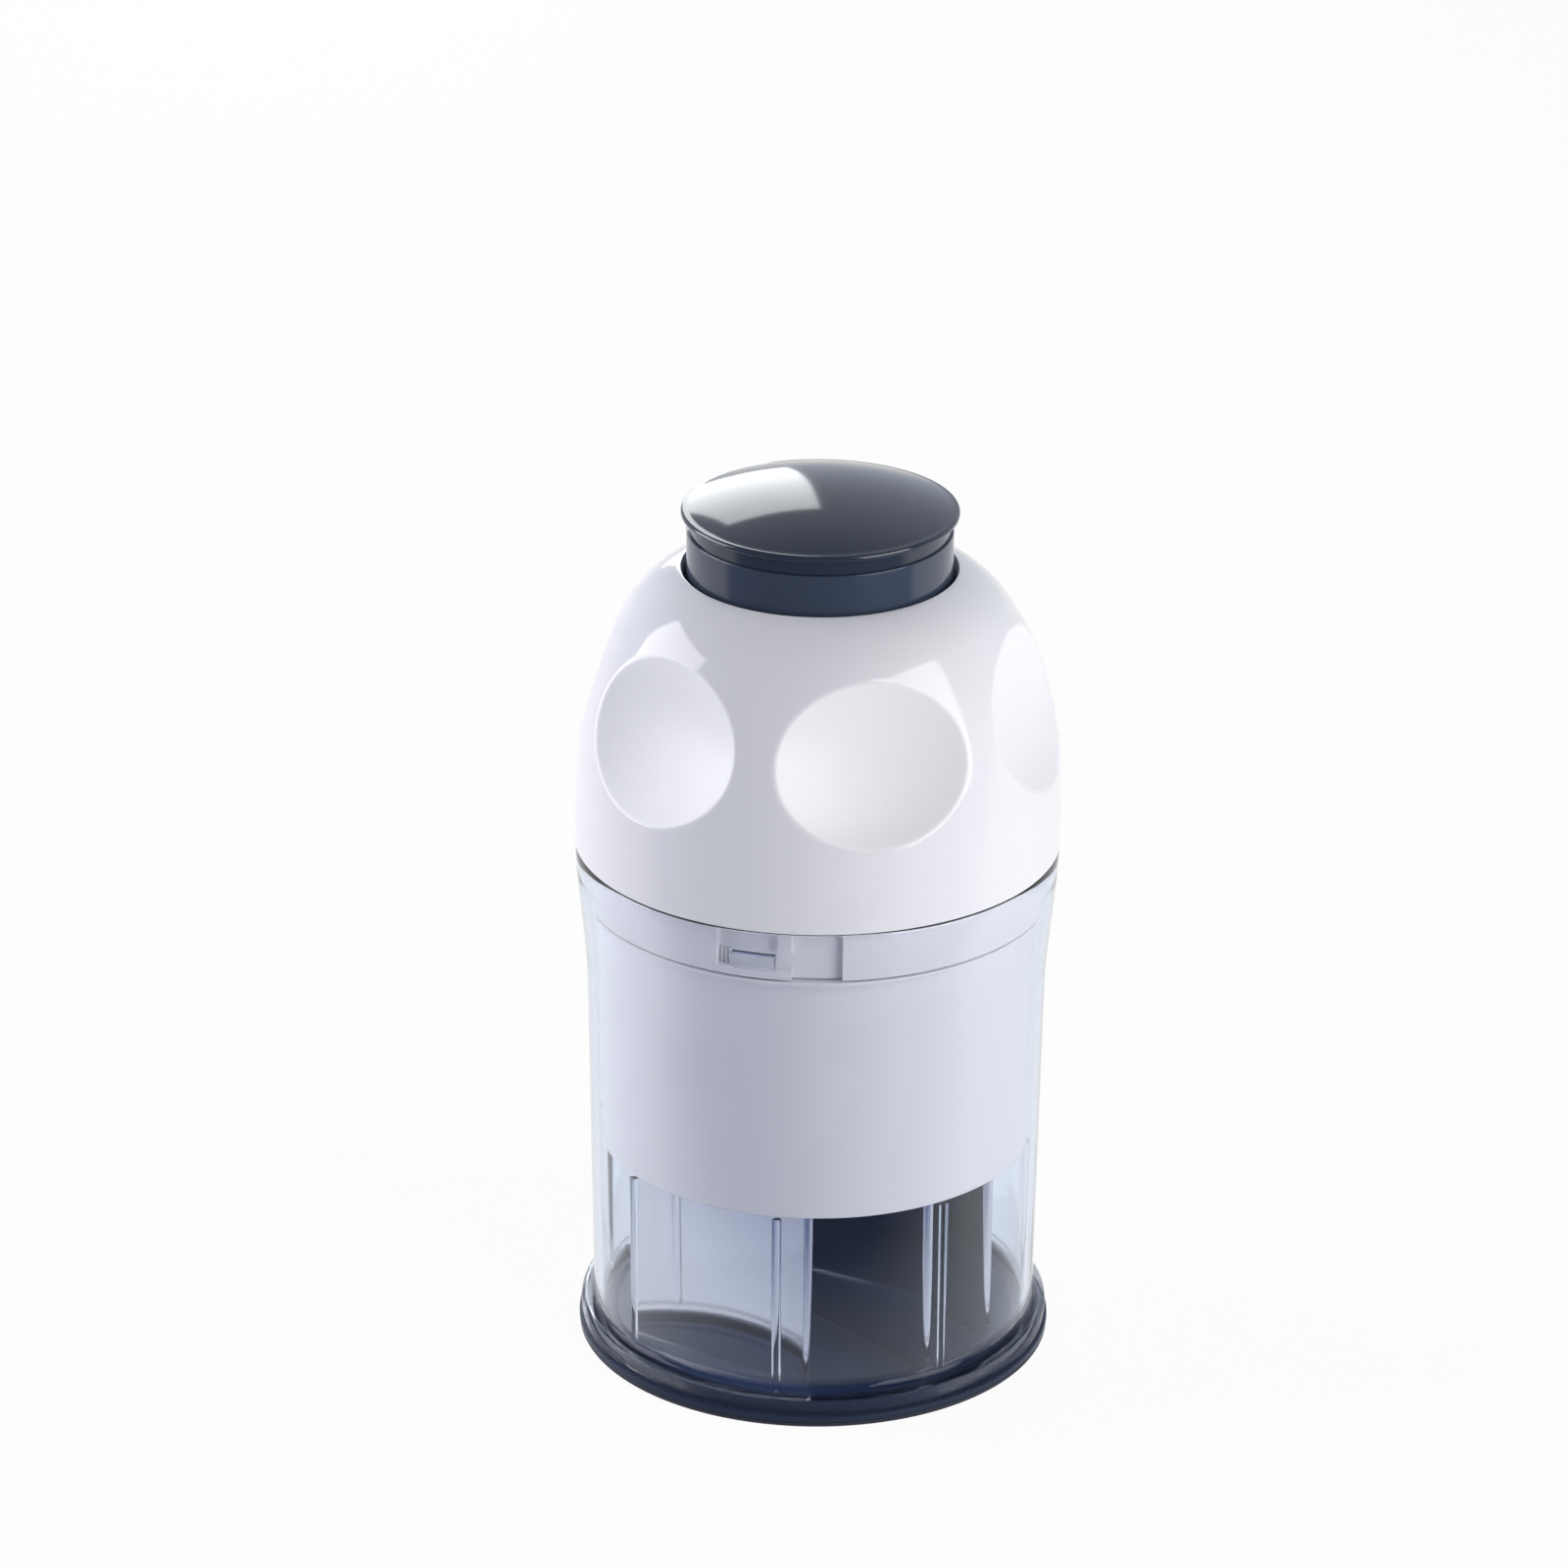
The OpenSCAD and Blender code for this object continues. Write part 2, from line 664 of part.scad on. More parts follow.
// Half section of the housing, drawn in by inset on every side but the seam
module housing_outline(inset) {
    // an upright band, then three curves that meet on lines through their centres
    translate([0, curves_z - housing_h]) square([housing_r - inset, housing_h]);
    intersection() {
        translate(lower_c) circle(r = lower_curve_r - inset);
        polygon([[0, lower_c.y], [housing_r + past, lower_c.y],
            lower_c + 2 * lower_curve_r * [cos(lower_a), sin(lower_a)], shoulder_c, [0, shoulder_c.y]]);
    }
    intersection() {
        translate(shoulder_c) circle(r = shoulder_curve_r - inset);
        polygon([shoulder_c, shoulder_c + 2 * shoulder_curve_r * [cos(lower_a), sin(lower_a)],
            shoulder_c + 2 * shoulder_curve_r * [cos(shoulder_a), sin(shoulder_a)], top_c,
            [0, top_c.y], [0, shoulder_c.y]]);
    }
    intersection() {
        translate(top_c) circle(r = top_curve_r - inset);
        polygon([top_c, top_c + 3 * top_curve_r * [cos(shoulder_a), sin(shoulder_a)],
            [top_c.x, top_c.y + 3 * top_curve_r], [0, top_c.y + 3 * top_curve_r], [0, top_c.y]]);
    }
}

// Barrel that scoops one dimple: rounder up and down than across. It is grown by g for the
// wall behind the dimple.
module dimple_tool(g) {
    translate([housing_r - dimple_inset, 0, opening_z - dimple_drop])
    rotate([0, 90 - dimple_tilt, 0])
    translate([0, 0, dimple_across_r - dimple_depth])
    rotate([0, 90, 0])
    rotate_extrude()
    translate([dimple_across_r - dimple_upright_r, 0])
    circle(r = dimple_upright_r + g);
}

module for_each_dimple() {
    for (i = [0 : dimple_count - 1])
        at_azimuth(dimple_azimuth + i * 360 / dimple_count)
        children();
}

module upper_housing() {
    boss_z = flange_plate_z + flange_plate_t + snug;
    color("#f4f5f9")
    difference() {
        union() {
            difference() {
                intersection() {
                    rotate_extrude() right_half() housing_outline(0);
                    translate([0, 0, seam_z]) cylinder(r = 2 * housing_r, h = housing_h);
                }
                difference() {
                    rotate_extrude() right_half() housing_outline(housing_wall);
                    for_each_dimple() dimple_tool(dimple_wall);
                    translate([0, 0, opening_z - guide_tube_l])
                        cylinder(r = guide_tube_r + guide_tube_wall, h = guide_tube_l);
                    for_each_screw()
                        translate([0, 0, seam_z]) cylinder(r = boss_r, h = housing_h);
                }
            }
            // screw bosses reach down to the guard's plate
            for_each_screw()
                translate([0, 0, boss_z]) cylinder(r = boss_r, h = seam_z - boss_z + past);
        }
        for_each_dimple() dimple_tool(0);
        // bore of the knob opening, eased at its top
        translate([0, 0, seam_z]) cylinder(r = guide_tube_r, h = 2 * housing_h);
        translate([0, 0, opening_z - opening_ease_h])
            cylinder(r1 = guide_tube_r, r2 = guide_tube_r + opening_ease_w, h = opening_ease_h + snug);
        for_each_screw()
            translate([0, 0, boss_z - past])
            cylinder(r = screw_r + snug, h = screw_l - deck_t - flange_plate_t + past + 1);
    }
}

module skirt_guide_ring() {
    color("#2f3641")
    tube(guide_tube_r + guide_tube_wall, skirt_r + skirt_run,
        opening_z - guide_tube_l - skirt_guide_h - snug, skirt_guide_h);
}

// ---------- plunger ----------

module knob_skirt() {
    color("#47505f")
    difference() {
        union() {
            tube(skirt_r, skirt_r - skirt_wall, skirt_z, skirt_l);
            translate([0, 0, skirt_plate_z]) cylinder(r = skirt_r - skirt_wall / 2, h = skirt_plate_t);
            translate([0, 0, skirt_plate_z - stem_boss_h])
                cylinder(r = stem_r + stem_boss_wall, h = stem_boss_h + past);
        }
        translate([0, 0, skirt_plate_z - stem_boss_h - past])
            cylinder(r = stem_r + snug, h = stem_boss_h + past);
        translate([0, 0, skirt_plate_z - past])
            cylinder(r = screw_r + slide_gap, h = skirt_plate_t + 2 * past);
    }
}

module knob_cap() {
    crown_z = cap_lip_z + cap_lip_h;
    crown_rim_r = cap_r - crown_inset;
    crown_r = (pow(crown_rim_r, 2) + pow(crown_rise, 2)) / (2 * crown_rise);
    color("#3d4552")
    rotate_extrude()
    difference() {
        union() {
            translate([0, cap_z]) square([skirt_r - neck_inset, cap_neck_h]);
            translate([0, cap_lip_z]) square([cap_r - cap_lip_h / 2, cap_lip_h]);
            translate([cap_r - cap_lip_h / 2, cap_lip_z + cap_lip_h / 2]) circle(r = cap_lip_h / 2);
            intersection() {
                translate([0, crown_z + crown_rise - crown_r]) circle(r = crown_r);
                translate([0, crown_z - snug]) square([cap_r, crown_rise + past]);
            }
            translate([0, cap_z - cap_plug_h])
                square([skirt_r - skirt_wall - snug, cap_plug_h + past]);
        }
        // hollow under the crown
        intersection() {
            translate([0, crown_z + crown_rise - crown_r]) circle(r = crown_r - cap_shell_t);
            translate([0, cap_z - cap_plug_h - past])
                square([skirt_r - skirt_wall - snug - cap_plug_wall, 2 * crown_r]);
        }
        translate([0, cap_z - cap_plug_h - past])
            square([skirt_r - skirt_wall - snug - cap_plug_wall, cap_plug_h + past]);
        // nothing is left on the far side of the axis
        translate([-2 * crown_r, cap_z - 3 * crown_r]) square([2 * crown_r, 6 * crown_r]);
    }
}

module knob_screw() {
    color("silver")
    translate([0, 0, skirt_plate_z + skirt_plate_t + snug])
    mirror([0, 0, 1])
    screw(0, screw_r, screw_l, screw_head_r, screw_head_h);
}

module plunger_stem() {
    color("#d5dae2")
    difference() {
        union() {
            translate([0, 0, stem_shoulder_z]) cylinder(r = stem_r, h = stem_top_z - stem_shoulder_z);
            translate([0, 0, hub_washer_z + washer_t + snug])
                cylinder(r = journal_r, h = stem_shoulder_z - hub_washer_z - washer_t);
        }
        translate([0, 0, stem_top_z - screw_l]) cylinder(r = screw_r + snug, h = screw_l + past);
        translate([0, 0, hub_washer_z]) cylinder(r = screw_r + snug, h = screw_l + past);
    }
}

module thrust_washer() {
    color("#8b9096")
    tube(stem_r, journal_r + washer_gap, carrier_boss_z + snug, washer_t);
}

module hub_washer() {
    color("silver")
    tube(hub_recess_r - rest_gap, screw_r + washer_gap, hub_washer_z, washer_t);
}

module hub_screw() {
    color("silver")
    screw(hub_washer_z - snug, screw_r, screw_l - 2, screw_head_r, hub_washer_z - snug - carrier_z);
}

// ---------- return spring ----------

// Points of the spring's wire: closed end turns, open turns between, straight tips
spring_rings_per_turn = 8;
spring_end_gap = 0.6;
spring_seat_play = 0.02;
spring_end_pitch = spring_wire + spring_end_gap;
spring_low_z = spring_z + spring_wire / 2 + spring_seat_play;
spring_high_z = skirt_plate_z - spring_wire / 2 - spring_seat_play;
spring_pitch = (spring_high_z - spring_low_z - 2 * spring_end_pitch) / spring_turns;
spring_steps = (spring_turns + 2) * spring_rings_per_turn;
function spring_height(turn) = turn < 1 ? turn * spring_end_pitch
    : turn > spring_turns + 1
        ? spring_end_pitch + spring_turns * spring_pitch + (turn - spring_turns - 1) * spring_end_pitch
    : spring_end_pitch + (turn - 1) * spring_pitch;
function spring_point(i) = let (turn = i / spring_rings_per_turn, a = 360 * turn)
    [spring_r * cos(a), spring_r * sin(a), spring_low_z + spring_height(turn)];
spring_path = concat(
    [spring_point(0) - [0, spring_wire, 0]],
    [for (i = [0 : spring_steps]) spring_point(i)],
    [spring_point(spring_steps) + [0, spring_wire, 0]]);
spring_gap = min([for (i = [0 : spring_steps])
    for (j = [i + spring_rings_per_turn - 1 : 1 : min(spring_steps, i + spring_rings_per_turn + 1)])
        norm(spring_point(i) - spring_point(j))]) - spring_wire;
echo(spring_least_gap = spring_gap);

module return_spring() {
    sides = 6;
    last = len(spring_path) - 1;
    // each ring stands square to the wire, with one direction kept upright
    function along(i) = let (v = spring_path[min(last, i + 1)] - spring_path[max(0, i - 1)]) v / norm(v);
    function out(i) = let (t = along(i), s = cross(t, [0, 0, 1])) s / norm(s);
    points = [for (i = [0 : last]) for (k = [0 : sides - 1])
        let (a = k * 360 / sides, s = out(i), u = cross(s, along(i)))
        spring_path[i] + spring_wire / 2 * (cos(a) * s + sin(a) * u)];
    walls = [for (i = [0 : last - 1]) for (k = [0 : sides - 1])
        let (a = i * sides + k, b = i * sides + (k + 1) % sides)
        each [[a, b, b + sides], [a, b + sides, a + sides]]];
    start = [for (k = [1 : sides - 2]) [0, k + 1, k]];
    finish = [for (k = [1 : sides - 2]) [last * sides, last * sides + k, last * sides + k + 1]];
    color("silver") polyhedron(points, concat(walls, start, finish));
}

// ---------- blade ----------

// Azimuths along the strip, from one end to the other, and the side each fold turns to
blade_azimuths = [for (a = [-first_end_angle, -fold_before_angle, -far_fold_angle, 0,
    far_fold_angle, fold_after_angle, last_end_angle]) blade_azimuth + a];
blade_turns = [0, 1, -1, 1, -1, 1, 0];
panel_count = len(blade_azimuths) - 1;

function fold_centre(i) = let (a = blade_azimuths[i] - 90,
    r = blade_turns[i] == 0 ? blade_r : blade_r - fold_r - blade_t / 2)
    r * [cos(a), sin(a)];

// Direction of panel i, which runs from fold i to fold i + 1
function panel_angle(i) = let (d = fold_centre(i + 1) - fold_centre(i))
    atan2(d.y, d.x) + asin(fold_r * (blade_turns[i] - blade_turns[i + 1]) / norm(d));
function panel_end(i, at) = fold_centre(at)
    + blade_turns[at] * fold_r * [sin(panel_angle(i)), -cos(panel_angle(i))];
function turn_angle(a) = a - 360 * floor(a / 360);

// Points of the strip's right-hand face when it stands s off the middle line. Each fold is an
// arc about its centre; the free ends are moved out by extra.
fold_steps = 14;
function strip_face(s, extra) = concat(
    [panel_end(0, 0) + off_line(0, s) - extra * along_panel(0)],
    [for (i = [1 : panel_count - 1], k = [0 : fold_steps])
        let (sweep = blade_turns[i] * turn_angle(blade_turns[i] * (panel_angle(i) - panel_angle(i - 1))),
            a = panel_angle(i - 1) + sweep * k / fold_steps)
        fold_centre(i) + (blade_turns[i] * fold_r + s) * [sin(a), -cos(a)]],
    [panel_end(panel_count - 1, panel_count) + off_line(panel_count - 1, s)
        + extra * along_panel(panel_count - 1)]);
function along_panel(i) = [cos(panel_angle(i)), sin(panel_angle(i))];
function off_line(i, s) = s * [sin(panel_angle(i)), -cos(panel_angle(i))];
function reversed(list) = [for (i = [len(list) - 1 : -1 : 0]) list[i]];

module strip_outline(t, extra) {
    polygon(concat(strip_face(t / 2, extra), reversed(strip_face(-t / 2, extra))));
}

// A channel that leaves gap on both sides of the blade
module blade_channel(z, h, gap) {
    translate([0, 0, z]) linear_extrude(h) strip_outline(blade_t + 2 * gap, gap);
}

module zigzag_blade() {
    color("#aeb6c4")
    difference() {
        translate([0, 0, blade_z]) linear_extrude(blade_h) strip_outline(blade_t, 0);
        // each panel is ground on both sides to a narrow edge
        for (i = [0 : panel_count - 1], side = [-1, 1])
            translate(concat(panel_end(i, i), blade_z))
            rotate([90, 0, 90 + panel_angle(i)])
            linear_extrude(norm(panel_end(i, i + 1) - panel_end(i, i)))
            polygon([[side * blade_edge_t / 2, 0], [side * blade_t / 2, blade_bevel_h],
                [side * blade_t, blade_bevel_h], [side * blade_t, -past], [side * blade_edge_t / 2, -past]]);
    }
}

module blade_carrier() {
    color("#e8ebf1")
    difference() {
        union() {
            translate([0, 0, carrier_z]) cylinder(r = carrier_r, h = carrier_t);
            translate([0, 0, carrier_z]) cylinder(r = carrier_hub_r, h = carrier_hub_z - carrier_z);
            translate([0, 0, carrier_z]) cylinder(r = carrier_boss_r, h = carrier_boss_z - carrier_z);
            // stiffening ribs
            for (i = [0 : carrier_rib_count - 1])
                rotate(i * 360 / carrier_rib_count)
                translate([carrier_hub_r - past, -rib_t / 2, carrier_z])
                cube([carrier_r - carrier_hub_r, rib_t, carrier_hub_h - rib_drop]);
        }
        blade_channel(carrier_z - past, carrier_groove_h + past, snug);
        translate([0, 0, carrier_z - past]) cylinder(r = hub_recess_r, h = hub_recess_h + past);
        translate([0, 0, carrier_z]) cylinder(r = journal_r + run, h = 2 * carrier_boss_z);
    }
}

base_dish();
antislip_ring();
base_seal();
container();
upper_housing();
blade_guard();
guide_deck();
deck_screws();
guide_bush();
cam_ring();
spring_seat();
stop_bumper();
skirt_guide_ring();
knob_skirt();
knob_cap();
knob_screw();
plunger_stem();
return_spring();
thrust_washer();
hub_washer();
hub_screw();
blade_carrier();
index_ratchet();
zigzag_blade();
wiper_disc();
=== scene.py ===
import math

import bpy
import numpy as np
from mathutils import Matrix, Vector


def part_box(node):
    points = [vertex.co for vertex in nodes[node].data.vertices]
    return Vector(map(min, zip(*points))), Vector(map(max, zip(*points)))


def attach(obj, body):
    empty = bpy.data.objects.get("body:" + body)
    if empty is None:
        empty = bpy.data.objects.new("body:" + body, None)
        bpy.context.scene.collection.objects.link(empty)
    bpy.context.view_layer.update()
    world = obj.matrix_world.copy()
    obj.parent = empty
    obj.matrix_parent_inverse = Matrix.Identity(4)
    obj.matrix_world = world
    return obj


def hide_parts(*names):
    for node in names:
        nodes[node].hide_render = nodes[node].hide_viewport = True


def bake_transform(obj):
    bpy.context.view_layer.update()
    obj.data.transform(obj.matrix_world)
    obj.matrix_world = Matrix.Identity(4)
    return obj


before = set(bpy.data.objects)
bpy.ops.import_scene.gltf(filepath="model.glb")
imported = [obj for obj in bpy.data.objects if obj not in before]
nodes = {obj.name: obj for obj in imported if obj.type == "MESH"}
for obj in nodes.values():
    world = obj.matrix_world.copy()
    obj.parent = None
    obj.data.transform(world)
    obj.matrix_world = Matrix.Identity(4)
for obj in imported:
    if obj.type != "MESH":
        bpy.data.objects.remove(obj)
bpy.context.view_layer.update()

scene = bpy.context.scene
scene.view_settings.view_transform = "Standard"

# Sizes are in millimetres, but for the studio's, which are in metres. Azimuths are in degrees
# from the front, turning towards +X. Meshes are made in millimetres and scaled once by MM.
MM = 0.001


# ---------- Camera ----------
# A long lens 1.4 m away, looking down at the chopper at about 23 degrees. Its place and turn
# put the seams, the dimples and the base where the photograph has them.

camera_place = Vector((0, -1243.4, 659.5)) * MM
camera_pitch = 0.405524
camera_yaw = -0.005731
camera_roll = 0.006957
camera_lens = 147.78

ahead = Vector((math.sin(camera_yaw) * math.cos(camera_pitch),
                math.cos(camera_yaw) * math.cos(camera_pitch), -math.sin(camera_pitch)))
level = Vector((math.cos(camera_yaw), -math.sin(camera_yaw), 0))
upward = level.cross(ahead)
right = level * math.cos(camera_roll) + upward * math.sin(camera_roll)
above = upward * math.cos(camera_roll) - level * math.sin(camera_roll)
camera = bpy.data.objects.new("camera", bpy.data.cameras.new("camera"))
camera.data.lens = camera_lens
camera.data.sensor_width = 36
camera.data.clip_end = 100
turn = Matrix((right, above, -ahead)).transposed().to_4x4()
camera.matrix_world = Matrix.Translation(camera_place) @ turn
scene.collection.objects.link(camera)
scene.camera = camera


# ---------- Studio ----------
# White paper under the chopper, a large softbox on each side and a narrow one behind it. The
# room is dimmer towards the camera and overhead, which shades the front.

class Socket:
    """A shader value that Python's operators work on."""

    def __init__(self, finish, socket):
        self.finish = finish
        self.socket = socket

    def maths(self, operation, *values):
        """The result of a Math node for these values or sockets."""
        return self.finish.node("Math", {"operation": operation}, dict(enumerate(values)))[0]

    def share(self):
        """The value kept between 0 and 1."""
        return self.maths("MINIMUM", self.maths("MAXIMUM", self, 0.0), 1.0)

    def __add__(self, other):
        return self.maths("ADD", self, other)

    def __sub__(self, other):
        return self.maths("SUBTRACT", self, other)

    def __rsub__(self, other):
        return self.maths("SUBTRACT", other, self)

    def __mul__(self, other):
        return self.maths("MULTIPLY", self, other)

    def __truediv__(self, other):
        return self.maths("DIVIDE", self, other)

    __radd__ = __add__
    __rmul__ = __mul__


class Finish:
    """The node tree of one material, or of the world."""

    def __init__(self, owner):
        owner.use_nodes = True
        self.owner = owner
        self.tree = owner.node_tree
        self.tree.nodes.clear()

    def node(self, kind, settings=None, inputs=None):
        """Adds a node, sets it up, fills its sockets and returns its outputs."""
        made = self.tree.nodes.new("ShaderNode" + kind)
        for name, value in (settings or {}).items():
            if name == "stops":
                ramp = made.color_ramp.elements
                while len(ramp) < len(value):
                    ramp.new(0.5)
                for stop, (at, colour) in zip(ramp, value):
                    stop.position = at
                    stop.color = (*colour, 1)
            else:
                setattr(made, name, value)
        for name, value in (inputs or {}).items():
            if isinstance(value, Socket):
                self.tree.links.new(value.socket, made.inputs[name])
            else:
                made.inputs[name].default_value = value
        return [Socket(self, output) for output in made.outputs if output.enabled]

    def mix(self, share, first, second):
        """A colour between two colours, by a share from 0 to 1."""
        return self.node("Mix", {"data_type": "RGBA"},
                         {"Factor": share, "A": first, "B": second})[0]


def rgb(red, green, blue):
    return (red, green, blue, 1)


def noise(place, scale, detail):
    """Soft uneven values from 0 to 1, about this many to the metre."""
    return place.finish.node("TexNoise", inputs={
        "Vector": place, "Scale": scale, "Detail": detail})[0]


# outputs of the Light Path and Texture Coordinate nodes
CAMERA, SHADOW, DIFFUSE, GLOSSY, TRANSMISSION = 0, 1, 2, 3, 6
GENERATED, OBJECT = 0, 3

lamp_distance = 1.1
lit_middle = Vector((0, 0, 0.1))


def softbox(name, azimuth, height, width, tall, watts, colour):
    """A rectangular lamp, in metres, that faces the middle of the chopper."""
    data = bpy.data.lights.new(name, "AREA")
    data.shape = "RECTANGLE"
    data.size = width
    data.size_y = tall
    data.energy = watts
    data.color = colour
    lamp = bpy.data.objects.new(name, data)
    side = math.radians(azimuth)
    lamp.location = (lamp_distance * math.sin(side), -lamp_distance * math.cos(side), height)
    lamp.rotation_euler = (lit_middle - lamp.location).to_track_quat("-Z", "Y").to_euler()
    scene.collection.objects.link(lamp)


softbox("softbox_right", 55, 0.42, 0.9, 1.1, 13.0, (1.0, 0.99, 0.985))
softbox("softbox_left", -99, 0.38, 0.8, 1.1, 13.3, (0.95, 0.945, 1.0))
softbox("softbox_back", 190, 0.57, 0.33, 0.8, 3.2, (0.97, 1.0, 0.985))

white_light = rgb(1, 1, 1)
# the white background, as it shows through the faintly blue cup
through_cup = rgb(0.84, 0.91, 1.0)
# the room that mirror reflections and shading see, from the dimmest part to the palest
room_tones = [(0.1, (0.21, 0.24, 0.32)), (0.42, (0.34, 0.37, 0.46)),
              (0.62, (0.72, 0.77, 0.88)), (1.0, (0.82, 0.88, 0.98))]
paler_behind = 0.42
dimmer_above = 0.26
kept_from_shading = 0.7

world = Finish(bpy.data.worlds.new("studio"))
scene.world = world.owner
seen = world.node("LightPath")
facing = world.node("SeparateXYZ", inputs={"Vector": world.node("TexCoord")[GENERATED]})
tone = facing[1] * paler_behind - facing[2] * dimmer_above + 0.5
room = world.node("ValToRGB", {"stops": room_tones}, {"Fac": tone})[0]
seen_white = world.mix(seen[TRANSMISSION], white_light, through_cup)
backdrop = world.mix((seen[CAMERA] + seen[TRANSMISSION]).share(), room, seen_white)
# most of the light on pale surfaces comes from the softboxes
backdrop = world.mix(seen[DIFFUSE] * kept_from_shading, backdrop, rgb(0, 0, 0))
shine = world.node("Background", inputs={"Color": backdrop, "Strength": 1.0})
world.node("OutputWorld", inputs={"Surface": shine[0]})

floor_half = 5.0
floor_mesh = bpy.data.meshes.new("floor")
floor_mesh.from_pydata([(-floor_half, -floor_half, 0), (floor_half, -floor_half, 0),
                        (floor_half, floor_half, 0), (-floor_half, floor_half, 0)],
                       [], [(0, 1, 2, 3)])
floor = bpy.data.objects.new("floor", floor_mesh)
scene.collection.objects.link(floor)

paper = Finish(bpy.data.materials.new("white_paper"))
place = paper.node("TexCoord")[OBJECT]
fibre = noise(place, 900.0, 3.0)
sheet = paper.node("BsdfPrincipled", inputs={
    "Base Color": paper.mix(fibre, rgb(0.90, 0.90, 0.91), rgb(0.92, 0.92, 0.93)),
    "Roughness": 0.9, "Specular IOR Level": 0.2})
# The camera sees an even white with a trace of the sheet's shading. To mirror reflections the
# sheet fades in front of the chopper, from 43 mm off its axis to 114 mm, and is dim beyond.
even_share = 0.95
fade_per_metre = 14.0
fade_start = 0.6
dim_paper = rgb(0.14, 0.19, 0.34)
seen = paper.node("LightPath")
nearer = 0.0 - paper.node("SeparateXYZ", inputs={"Vector": place})[1] * fade_per_metre - fade_start
pale_paper = paper.mix(seen[TRANSMISSION], white_light, through_cup)
glow = paper.node("Emission", inputs={
    "Color": paper.mix(nearer.share() * seen[GLOSSY], pale_paper, dim_paper), "Strength": 1.0})
even = (seen[CAMERA] + seen[GLOSSY] + seen[TRANSMISSION]).share() * even_share
surface = paper.node("MixShader", inputs={0: even, 1: sheet[0], 2: glow[0]})
paper.node("OutputMaterial", inputs={"Surface": surface[0]})
floor_mesh.materials.append(paper.owner)


# ---------- Base dish ----------
# The anthracite moulding that the cup stands in, 101.6 across. Its edge shows as a thin dark
# band, and inside the clear cup lies its flat, bluer chopping floor with a shallow drain ring.

def box_mm(node):
    low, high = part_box(node)
    return low / MM, high / MM


def rounded(corners, steps=5):
    """Outline points of (radius, height, rounding) corners."""
    flat = np.array([(r, z) for r, z, _ in corners], float)
    points = []
    for i, (r, z, rounding) in enumerate(corners):
        here = flat[i]
        back = flat[i - 1] - here
        forth = flat[(i + 1) % len(flat)] - here
        if rounding == 0 or not back.any() or not forth.any():
            points.append(here)
            continue
        back /= np.linalg.norm(back)
        forth /= np.linalg.norm(forth)
        half = math.acos(np.clip(back @ forth, -1, 1)) / 2
        if math.pi / 2 - half < 1e-4:
            points.append(here)
            continue
        centre = here + (back + forth) / np.linalg.norm(back + forth) * rounding / math.sin(half)
        reach = rounding / math.tan(half)
        first = here + back * reach - centre
        last = here + forth * reach - centre
        start = math.atan2(first[1], first[0])
        sweep = math.atan2(last[1], last[0]) - start
        sweep = (sweep + math.pi) % (2 * math.pi) - math.pi
        for k in range(steps + 1):
            angle = start + sweep * k / steps
            points.append(centre + rounding * np.array([math.cos(angle), math.sin(angle)]))
    return points


def made(name, points, faces, sharp=32):
    """A smooth-shaded object from points in millimetres, creased where faces meet sharply."""
    mesh = bpy.data.meshes.new(name)
    mesh.from_pydata((np.asarray(points) * MM).tolist(), [], faces)
    mesh.validate()
    mesh.shade_smooth()
    mesh.set_sharp_from_angle(angle=math.radians(sharp))
    piece = bpy.data.objects.new(name, mesh)
    scene.collection.objects.link(piece)
    return piece


def turned(name, outline, azimuths=None, shape=None, sharp=32):
    """A closed outline turned about the axis. The outline runs anticlockwise as seen with the
    radius to the right. shape may move its points at each azimuth."""
    outline = np.asarray(outline, float)
    azimuths = np.arange(0, 360, 2.0) if azimuths is None else np.asarray(azimuths)
    around, along = len(azimuths), len(outline)
    radius = np.tile(outline[:, 0], (around, 1))
    height = np.tile(outline[:, 1], (around, 1))
    azimuth = np.tile(azimuths[:, None], (1, along))
    if shape:
        radius, height = shape(azimuth, radius, height)
    turn = np.radians(azimuth)
    points = np.stack([radius * np.sin(turn), -radius * np.cos(turn), height], -1)
    index = np.arange(around * along).reshape(around, along)
    next_round = np.roll(index, -1, 0)
    quads = np.stack([index, next_round, np.roll(next_round, -1, 1), np.roll(index, -1, 1)], -1)
    on_axis = (outline[:, 0] < 1e-6) & (np.roll(outline[:, 0], -1) < 1e-6)
    quads = quads[:, ~on_axis].reshape(-1, 4)
    # points on the axis are one point each
    merged = index.copy()
    merged[:, outline[:, 0] < 1e-6] = index[0, outline[:, 0] < 1e-6]
    quads = merged.reshape(-1)[quads]
    faces = [list(dict.fromkeys(face)) for face in quads.tolist()]
    return made(name, points.reshape(-1, 3), faces, sharp)


def dressed(piece, body, slot, finish, *replaced):
    """Gives a piece its finish and its body, and hides the nodes that it stands for."""
    piece.data.materials.append(finish)
    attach(piece, body)
    if replaced:
        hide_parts(*replaced)
    return piece


def mould_marks(place):
    """The slow wave and the fine grain that a mould leaves."""
    return noise(place, 55.0, 2.0), noise(place, 2400.0, 2.0)


def bumped(marks, height, under=None):
    """The surface with marks of this height in millimetres, on top of the bumps under them."""
    inputs = {"Height": marks, "Distance": height * MM, "Strength": 1.0}
    if under:
        inputs["Normal"] = under
    return marks.finish.node("Bump", inputs=inputs)[0]


